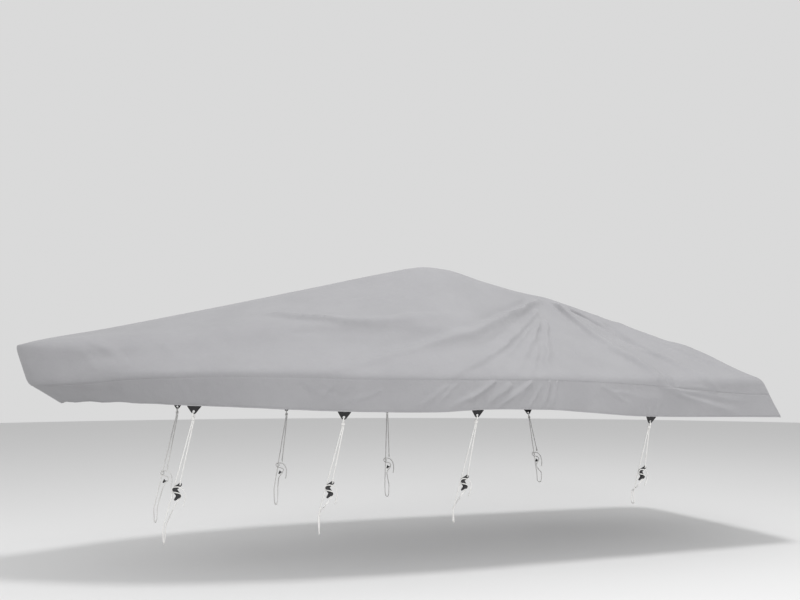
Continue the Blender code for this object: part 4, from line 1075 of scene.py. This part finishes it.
def black_webbing():
    """Black polyester webbing: ribbed weave, lighter on its high threads and darker between its
    ribs, with a random fuzz.
    """
    finish = Finish("webbing_black")
    finish.give({"Roughness": 0.62, "Specular IOR Level": 0.35})
    at = finish.places()
    rib = (at.across * (2 * math.pi / RIB_PITCH)).sine()
    pick = (at.down * (4 * math.pi / RIB_PITCH)).sine()
    fuzz = finish.noise(at.room, scale=600.0, detail=2.0)
    # lighter on the ribs' high threads and darker between them, following the bump; the noise is
    # fuzz
    finish.colour(TAB_DARK, TAB_LIGHT, rib * 0.2 + pick * 0.1 + fuzz * 0.6 + 0.1)
    finish.bump((fuzz, FUZZ_RELIEF), (rib * pick, PICK_RELIEF), (rib, RIB_RELIEF))
    return finish.material


def looped(corners, count):
    """Evenly shared points round a closed outline, its corners a little rounded."""
    corners = [np.array(corner) for corner in corners]
    share = count // len(corners)
    ring = np.array([corner + (after - corner) * k / share
                     for corner, after in zip(corners, corners[1:] + corners[:1])
                     for k in range(share)])
    for _ in range(CORNER_ROUNDS):
        ring = (np.roll(ring, 1, axis=0) + 2 * ring + np.roll(ring, -1, axis=0)) / 4
    return ring


def tab_mesh(tie):
    """A patch of webbing with an eye, thick in its overcast ring and thin at its edges."""
    outline, eye = tie.tab_outline()
    middle = np.array(sum(eye, Vector()) / len(eye))
    rim = looped(outline, TAB_SPOKES)
    spokes = np.pi / 2 + 2 * np.pi * np.arange(TAB_SPOKES) / TAB_SPOKES
    across = np.array((eye[3 * EYE_SIDES // 4] - eye[EYE_SIDES // 4]).normalized())
    up = np.array(tie.up)
    hole = middle + EYE_RADIUS * (np.outer(np.cos(spokes), across) + np.outer(np.sin(spokes), up))
    out = np.array(tie.face_out)
    shares = np.concatenate(
        (RIM_SHARES, np.linspace(NEXT_SHARE, 1.0, TAB_RINGS - len(RIM_SHARES))))
    layers = []
    for facing in (1, -1):
        for share in (shares if facing == 1 else shares[::-1]):
            ring = rim + (hole - rim) * share
            to_rim = np.linalg.norm(ring - rim, axis=1)
            to_eye = np.linalg.norm(ring - hole, axis=1)
            edge = np.clip(np.minimum(to_rim, to_eye) / TAB_RIM, 0.0, 1.0)
            half = TAB_THICKNESS / 2 * np.sqrt(1.0 - (1.0 - edge) ** 2 * TAB_RIM_ROUND)
            half = half + EYE_RING_RISE * np.sin(np.pi * np.clip(to_eye / EYE_RING, 0.0, 1.0))
            layers.append(ring - out * TAB_THICKNESS / 2 + facing * half[:, None] * out)
    points = np.array(layers + layers[:1]).transpose(1, 0, 2)
    places = np.stack(((points - middle) @ across, (points - middle) @ up), axis=-1)
    places = np.concatenate((places, places[:1]))
    return closed_mesh("tab", grid_mesh("tab", points, places, closed=True))


def closed_mesh(name, mesh):
    """Merge the doubled points of a mesh that closes on itself, and face it outwards."""
    helper = bpy.data.objects.new(name + "_closing", mesh)
    bpy.context.scene.collection.objects.link(helper)
    select_only(helper)
    bpy.ops.object.mode_set(mode="EDIT")
    bpy.ops.mesh.select_all(action="SELECT")
    bpy.ops.mesh.remove_doubles(threshold=1e-6)
    bpy.ops.mesh.normals_make_consistent(inside=False)
    bpy.ops.object.mode_set(mode="OBJECT")
    bpy.data.objects.remove(helper)
    return mesh


def tab_stitching(tie):
    """The row that sews a tab down, just inside its edge on the outer face."""
    outline, eye = tie.tab_outline()
    rim = looped(outline, TAB_SPOKES)
    middle = np.array(sum(eye, Vector()) / len(eye))
    inward = middle - rim
    inward *= TAB_STITCH_IN / np.linalg.norm(inward, axis=1)[:, None]
    row = rim + inward
    row = np.concatenate((row, row[:1]))
    return row, np.repeat(np.array(tie.face_out)[None], len(row), axis=0)


ties = {f"{label}_{number}": Tie(side, row) for side, label in SIDES.items()
        for number, row in enumerate(TIES, start=1)}
webbing = black_webbing()
for label, tie in ties.items():
    tab = add_piece("hem_tab_" + label, tab_mesh(tie), webbing)
    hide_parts("tab_" + label)
tab_rows = stitches("tab_stitching", [tab_stitching(tie) for tie in ties.values()])
add_piece("tab_stitching", tab_rows, webbing)

# ======================================================================================
# Knots
# The rope's bight goes through the eye of the tab, and its two strands are bound under it
# by two and a half turns of the same rope, pulled tight.
# ======================================================================================
ROPE_SIDES = 18
RING_PITCH = 0.0028                  # from one ring of the rope's mesh to the next
EASE_ROUNDS = 14                     # rounds of smoothing that ease the rope's bends
BRAID_PITCH = 0.021                  # a strand of the braid goes once round in this length
BRAID_STRANDS = 6
BRAID_RELIEF = 0.00042
KNOT_TURNS = 2.5
KNOT_RADIUS, KNOT_OVAL = 0.0112, 1.12    # of the turns' centreline, wider along the hem
KNOT_STEPS, KNOT_PITCH = 12, 0.98    # points of a turn, and rope diameters between turns
BIGHT_DEGREES = range(-20, 201, 20)  # round the ring that goes through the tab's eye
BIGHT_LEAN = 0.7                     # share of the strands' spread that the ring leans
LEG_FOOT, LEG_TOP = 0.002, -0.026    # the bight's legs, which the turns hide
LEG_IN, LEG_OUT = 0.8, 0.003
TUCK_START, TUCK_RISE, TUCK_END = 0.2, 0.006, 0.3    # how the turns' ends are tucked in
END_ROUND, END_NARROWING = ROPE / 3, 0.35    # the rope's cut ends
SLANT = (0.3, 0.5, 0.8)              # a heading that no rope starts along
FIBRES = 6.0                         # that show across a strand
FIBRE_RELIEF, CROSSING_RELIEF = 0.00006, 0.0003
# the darker rope colour stands for painted shade between the strands and for soil
ROPE_SHADE_AND_SOIL, ROPE_LIGHT = (0.56, 0.55, 0.53), (0.86, 0.855, 0.84)


def white_braid():
    """White braided polyester rope: strands crossing both ways, with painted shade in the grooves
    between them and a little random soil.
    """
    finish = Finish("rope_white_braid")
    finish.give({"Roughness": 0.66, "Sheen Weight": 0.2})
    at = finish.places()
    turn = 2 * math.pi
    climb = at.across * (turn * BRAID_STRANDS / BRAID_PITCH)
    lay = at.down * (turn * BRAID_STRANDS)
    braid = (climb + lay).sine() * (climb - lay).sine()
    fibre = (climb * FIBRES + lay * FIBRES).sine()
    soil = finish.noise(at.room, scale=18.0, detail=3.0)
    # painted shade: the colour darkens along the grooves between the strands; the noise adds soil
    finish.colour(ROPE_SHADE_AND_SOIL, ROPE_LIGHT, braid.size() * 0.5 + soil * 0.6 + 0.15)
    finish.bump((fibre, FIBRE_RELIEF), (braid, CROSSING_RELIEF))
    return finish.material


def smooth_route(route):
    """Even points along one smooth curve through the route, and its length."""
    knots = [Vector(spot) for spot in route]
    knots = [knots[0] * 2 - knots[1], *knots, knots[-1] * 2 - knots[-2]]
    path = [knots[1]]
    for before, start, end, after in zip(knots, knots[1:], knots[2:], knots[3:]):
        come, span, go = (start - before).length, (end - start).length, (after - end).length
        leave = ((start - before) * (span / come) + (end - start) * (come / span)) / (come + span)
        reach = ((end - start) * (go / span) + (after - end) * (span / go)) / (span + go)
        steps = max(6, round(span / RING_PITCH))
        for k in range(1, steps + 1):
            t = k / steps
            path.append(start * (1 + 2 * t) * (1 - t) ** 2 + end * t * t * (3 - 2 * t)
                        + leave * span * t * (1 - t) ** 2 - reach * span * t * t * (1 - t))
    path = np.array(path)
    run = run_along(path)
    path = read_along(np.linspace(0.0, run[-1], max(8, round(run[-1] / RING_PITCH))), run, path)
    for _ in range(EASE_ROUNDS):
        path[1:-1] = (path[:-2] + 2 * path[1:-1] + path[2:]) / 4
    return path, float(run_along(path)[-1])


def rope_mesh(name, path):
    """A braided rope along even points, with rounded cut ends and UVs (metres, turns)."""
    along = np.gradient(path, axis=0)
    along /= np.linalg.norm(along, axis=1)[:, None]
    side_way = np.cross(along[0], SLANT)
    frames = []
    for heading in along:
        side_way = side_way - heading * (side_way @ heading)
        side_way /= np.linalg.norm(side_way)
        frames.append((side_way, np.cross(heading, side_way)))
    run = run_along(path)
    turn = 2 * np.pi * np.arange(ROPE_SIDES) / ROPE_SIDES
    rings = [np.repeat(path[:1], ROPE_SIDES, axis=0)]
    for spot, (right, up), place in zip(path, frames, run):
        climb = np.pi * BRAID_STRANDS * place / BRAID_PITCH
        lay = BRAID_STRANDS / 2 * turn
        braid = (np.abs(np.sin(climb + lay)) + np.abs(np.sin(climb - lay))) / 2
        radius = ROPE / 2 - BRAID_RELIEF * (1.0 - braid)
        from_end = min(place, run[-1] - place)
        radius = radius * (1.0 - END_NARROWING * max(0.0, 1.0 - from_end / END_ROUND) ** 2)
        rings.append(spot + np.outer(np.cos(turn) * radius, right)
                     + np.outer(np.sin(turn) * radius, up))
    rings.append(np.repeat(path[-1:], ROPE_SIDES, axis=0))
    length_way = np.concatenate((run[:1], run, run[-1:]))
    places = np.stack(np.meshgrid(np.arange(ROPE_SIDES + 1) / ROPE_SIDES, length_way,
                                  indexing="ij")[::-1], axis=-1)
    mesh = grid_mesh(name, np.array(rings).transpose(1, 0, 2), places, closed=True)
    return closed_mesh(name, mesh)


def knot_mesh(tie):
    """The bight through the eye, and the turns that bind its strands."""
    across = np.array(tie.face_out.cross(tie.up))
    out, up = np.array(tie.face_out), np.array(tie.up)
    foot = -BIGHT_RADIUS - KNOT_DROP

    def at(x, y, z):
        return np.array(tie.bight) + across * x + out * y + up * z

    def leg(way):
        return [at(way * STRAND_SPREAD, 0.0, foot + LEG_FOOT),
                at(way * STRAND_SPREAD * LEG_IN, way * LEG_OUT, LEG_TOP)]

    bight = leg(1)
    for degrees in BIGHT_DEGREES:
        bend = math.radians(degrees)
        lean = STRAND_SPREAD * BIGHT_LEAN * math.cos(bend)
        bight.append(at(lean, BIGHT_RADIUS * math.cos(bend), BIGHT_RADIUS * math.sin(bend)))
    bight += reversed(leg(-1))
    turns = [at(-STRAND_SPREAD * TUCK_START, 0.0, foot + TUCK_RISE)]
    for k in range(round(KNOT_TURNS * KNOT_STEPS) + 1):
        bend = 2 * math.pi * k / KNOT_STEPS
        height = foot + ROPE / 2 + ROPE * KNOT_PITCH * k / KNOT_STEPS
        turns.append(at(KNOT_RADIUS * KNOT_OVAL * math.cos(bend), KNOT_RADIUS * math.sin(bend),
                        height))
    turns.append(at(KNOT_RADIUS * TUCK_END, -LEG_OUT, foot + ROPE * (KNOT_TURNS + TUCK_END)))
    loops = [rope_mesh("knot", smooth_route(route)[0]) for route in (bight, turns)]
    return joined("knot", loops)


def joined(name, meshes):
    """Several meshes as one."""
    helpers = [bpy.data.objects.new(name + "_joining", mesh) for mesh in meshes]
    for helper in helpers:
        bpy.context.scene.collection.objects.link(helper)
    select_only(*helpers)
    bpy.ops.object.join()
    mesh = helpers[0].data
    bpy.data.objects.remove(helpers[0])
    return mesh


braid = white_braid()
for label, tie in ties.items():
    add_piece("binding_knot_" + label, knot_mesh(tie), braid)
    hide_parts("knot_" + label)

# ======================================================================================
# Rope tensioners
# Moulded black nylon plates in an S: an eye for the short strand and two flanged bollards
# that the long strand is wound round. The edges are rounded by the mould.
# ======================================================================================
FLANGE_RADIUS, FLANGE = 0.0178, 0.0022
FLANGE_BEVEL = 0.3                   # share of the flange's thickness in its inner bevel
END_FACING = 0.9                     # a normal more outward than this is the post's end
DISH_RIM, DISH_DEPTH = 1.6, 0.45     # of the dish in its face, in flange thicknesses
WAIST_RADIUS = 0.0140
MOULD_GRAIN, MOULD_EASE = 0.0011, 8  # the mould rounds all edges
FACES_KEPT = 0.25
EYE_BORE = 0.0076                    # radius of the hole for the short strand
# one half of the loop through the eye, above the eye's middle and out from the plate's
LoopSpot = namedtuple("LoopSpot", "z out")
EYE_LOOP = [LoopSpot(*row) for row in (
    (0.033, 0.000),
    (0.025, 0.005),
    (0.014, 0.0098),
    (0.005, 0.0108),
    (-0.002, 0.0070),
    (-0.0035, 0.000),
)]
LOBE_SIDES = 40
PLASTIC_DARK, PLASTIC_LIGHT = (0.012, 0.012, 0.013), (0.024, 0.024, 0.026)
GRAIN_RELIEF = 0.00004


def moulded_nylon():
    """Black glass-filled nylon: a fine spark-eroded grain, rubbed smoother in places."""
    finish = Finish("nylon_black")
    at = finish.places()
    rubbed = finish.noise(at.room, scale=60.0, detail=3.0)
    grain = finish.noise(at.room, scale=2500.0, detail=1.0)
    finish.colour(PLASTIC_DARK, PLASTIC_LIGHT, rubbed)
    finish.give({"Roughness": rubbed * 0.25 + 0.30})
    finish.bump((grain, GRAIN_RELIEF))
    return finish.material


def select_faces(piece, test):
    """Select the faces that pass a test; edit mode is on before and after."""
    bpy.ops.mesh.select_all(action="DESELECT")
    bpy.ops.object.mode_set(mode="OBJECT")
    for face in piece.data.polygons:
        face.select = test(face)
    bpy.ops.object.mode_set(mode="EDIT")


def cylinder(lobe, radius, depth, y=0.0, start=0.0):
    """A cylinder across the plate at a lobe; y is where its middle lies."""
    bpy.ops.object.select_all(action="DESELECT")
    bpy.ops.mesh.primitive_cylinder_add(
        vertices=LOBE_SIDES, radius=radius, depth=depth, location=(lobe.x, y, lobe.z),
        rotation=(math.pi / 2, start, 0.0))
    return bpy.context.object


def bar_between(upper, lower, start):
    """Two round lobes and the web between them, as one flat convex piece."""
    other = cylinder(upper, upper.radius, PLATE, start=start)
    bar = cylinder(lower, lower.radius, PLATE, start=start)
    select_only(bar, other)
    bpy.ops.object.join()
    bpy.ops.object.transform_apply(location=True, rotation=True, scale=True)
    bpy.ops.object.mode_set(mode="EDIT")
    bpy.ops.mesh.select_all(action="SELECT")
    bpy.ops.mesh.convex_hull()
    bpy.ops.object.mode_set(mode="OBJECT")
    return bar


def bollard(lobe, side):
    """A waisted post that ends in a flange, standing on the plate's outer face."""
    height = BOLLARD_HEIGHT + PLATE / 2 - FLANGE
    post = cylinder(lobe, WAIST_RADIUS, height, side * height / 2)
    bpy.ops.object.transform_apply(location=True, rotation=True, scale=True)
    bpy.ops.object.mode_set(mode="EDIT")
    select_faces(post, lambda face: face.normal.y * side > END_FACING)
    widen = FLANGE_RADIUS / WAIST_RADIUS
    bpy.ops.mesh.extrude_region_move(
        TRANSFORM_OT_translate={"value": (0.0, side * FLANGE * FLANGE_BEVEL, 0.0)})
    bpy.ops.transform.resize(value=(widen, 1.0, widen),
                             center_override=(lobe.x, side * height, lobe.z))
    bpy.ops.mesh.extrude_region_move(
        TRANSFORM_OT_translate={"value": (0.0, side * FLANGE * (1 - FLANGE_BEVEL), 0.0)})
    bpy.ops.mesh.inset(thickness=FLANGE * DISH_RIM)
    bpy.ops.transform.translate(value=(0.0, -side * FLANGE * DISH_DEPTH, 0.0))
    bpy.ops.object.mode_set(mode="OBJECT")
    return post


def tensioner_mesh(side):
    """The whole moulding, in its own frame: x aft, y to starboard, z up the tie."""
    parts = [bar_between(upper, lower, math.pi / LOBE_SIDES * number)
             for number, (upper, lower) in enumerate(zip(LOBES, LOBES[1:]))]
    parts += [bollard(lobe, side) for lobe in (HIGH_LOBE, LOW_LOBE)]
    body = parts[0]
    for part in parts[1:]:
        apply_modifier(body, "BOOLEAN", operation="UNION", solver="EXACT", object=part)
        bpy.data.objects.remove(part)
    bore = cylinder(EYE_LOBE, EYE_BORE, 4 * PLATE)
    apply_modifier(body, "BOOLEAN", operation="DIFFERENCE", solver="EXACT", object=bore)
    bpy.data.objects.remove(bore)
    apply_modifier(body, "REMESH", mode="VOXEL", voxel_size=MOULD_GRAIN)
    apply_modifier(body, "SMOOTH", factor=0.5, iterations=MOULD_EASE)
    apply_modifier(body, "DECIMATE", ratio=FACES_KEPT)
    bpy.ops.object.shade_smooth()
    mesh = body.data
    bpy.data.objects.remove(body)
    return mesh


def eye_loop_mesh(tie):
    """The short strand's end: down the plate's face, through its eye and up the back."""
    front = [(spot.z, spot.out) for spot in EYE_LOOP]
    back = [(z, -out) for z, out in reversed(front[:-1])]
    route = [np.array(tie.on_plate(EYE_LOBE.x, EYE_LOBE.z + z, out)) for z, out in front + back]
    return rope_mesh("eye_loop", smooth_route(route)[0])


nylon = moulded_nylon()
moulding = {side: tensioner_mesh(side) for side in SIDES}
tensioners, eye_loops = {}, {}
for label, tie in ties.items():
    mesh = moulding[tie.side].copy()
    turn = Matrix((tie.aft, tie.lean.cross(tie.aft), tie.lean)).transposed().to_4x4()
    mesh.transform(Matrix.Translation(shifted(tie.hub)) @ turn)
    tensioners[label] = add_piece("rope_tensioner_" + label, mesh, nylon)
    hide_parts("tensioner_" + label)
    eye_loops[label] = add_piece("eye_loop_" + label, eye_loop_mesh(tie), braid)

# ======================================================================================
# Tie-down ropes
# Two strands of white braid from each knot: a short one to the tensioner's eye, and a
# long one round the trailer's rail and back up round both bollards, its end hanging free.
# ======================================================================================
for label, tie in ties.items():
    route, length = smooth_route(tie.short_route())
    rope = add_piece("short_strand_" + label, rope_mesh("strand", route), braid)
    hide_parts("rope_short_" + label)
    route, length = smooth_route(tie.long_route())
    rope = add_piece("long_strand_" + label, rope_mesh("strand", route), braid)
    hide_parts("rope_long_" + label)

# ======================================================================================
# Floor, light and camera
# A pale floor under the trailer's wheels, an even white sky, and three broad soft lamps:
# high overhead, off the port side and off the bow. The camera is at eye level, off the
# port bow, and looks aft and a little upwards.
# ======================================================================================
FLOOR_RADIUS, FLOOR_SIDES = 30.0, 240
FLOOR_TONE = (0.68, 0.68, 0.68)
GROUND = -REST_POINT[2]
SKY_STRENGTH = 0.70

bpy.ops.object.select_all(action="DESELECT")
bpy.ops.mesh.primitive_circle_add(vertices=FLOOR_SIDES, radius=FLOOR_RADIUS, fill_type="NGON",
                                  location=(0.0, 0.0, GROUND))
floor = bpy.context.object
floor.name = "floor"
paint = Finish("floor_paint")
paint.give({"Roughness": 0.9, "Base Color": (*FLOOR_TONE, 1.0)})
floor.data.materials.append(paint.material)

sky = bpy.data.worlds.new("sky")
sky.use_nodes = True
backdrop = sky.node_tree.nodes["Background"].inputs
backdrop["Color"].default_value = (1.0, 1.0, 1.0, 1.0)
backdrop["Strength"].default_value = SKY_STRENGTH
bpy.context.scene.world = sky


def soft_light(name, place, aim, size, power):
    lamp = bpy.data.lights.new(name, "AREA")
    lamp.shape, lamp.size, lamp.energy = "DISK", size, power
    stand = bpy.data.objects.new(name, lamp)
    bpy.context.scene.collection.objects.link(stand)
    stand.location = place
    stand.rotation_euler = (Vector(aim) - Vector(place)).to_track_quat("-Z", "Y").to_euler()


soft_light("overhead", place=(1.4, -2.4, 11.5), aim=(0.8, 0.0, -0.6), size=2.6, power=820.0)
soft_light("fill", place=(1.6, -11.0, 1.4), aim=(0.0, 0.0, -1.0), size=4.0, power=440.0)
soft_light("bow", place=(-12.0, -7.0, 3.5), aim=(-3.0, 0.0, -0.6), size=5.0, power=430.0)

CAMERA_PLACE = (-3.102, -8.03, -1.158)
CAMERA_RISE, CAMERA_TURN = math.radians(5.51), math.radians(-19.5)
FOCAL_LENGTH = 38.25                 # on a sensor 36 mm wide

lens = bpy.data.cameras.new("camera")
lens.lens = FOCAL_LENGTH
camera = bpy.data.objects.new("camera", lens)
bpy.context.scene.collection.objects.link(camera)
camera.location = CAMERA_PLACE
camera.rotation_euler = (math.pi / 2 + CAMERA_RISE, 0.0, CAMERA_TURN)
bpy.context.scene.camera = camera
bpy.context.scene.view_settings.view_transform = "Standard"

bpy.context.view_layer.update()
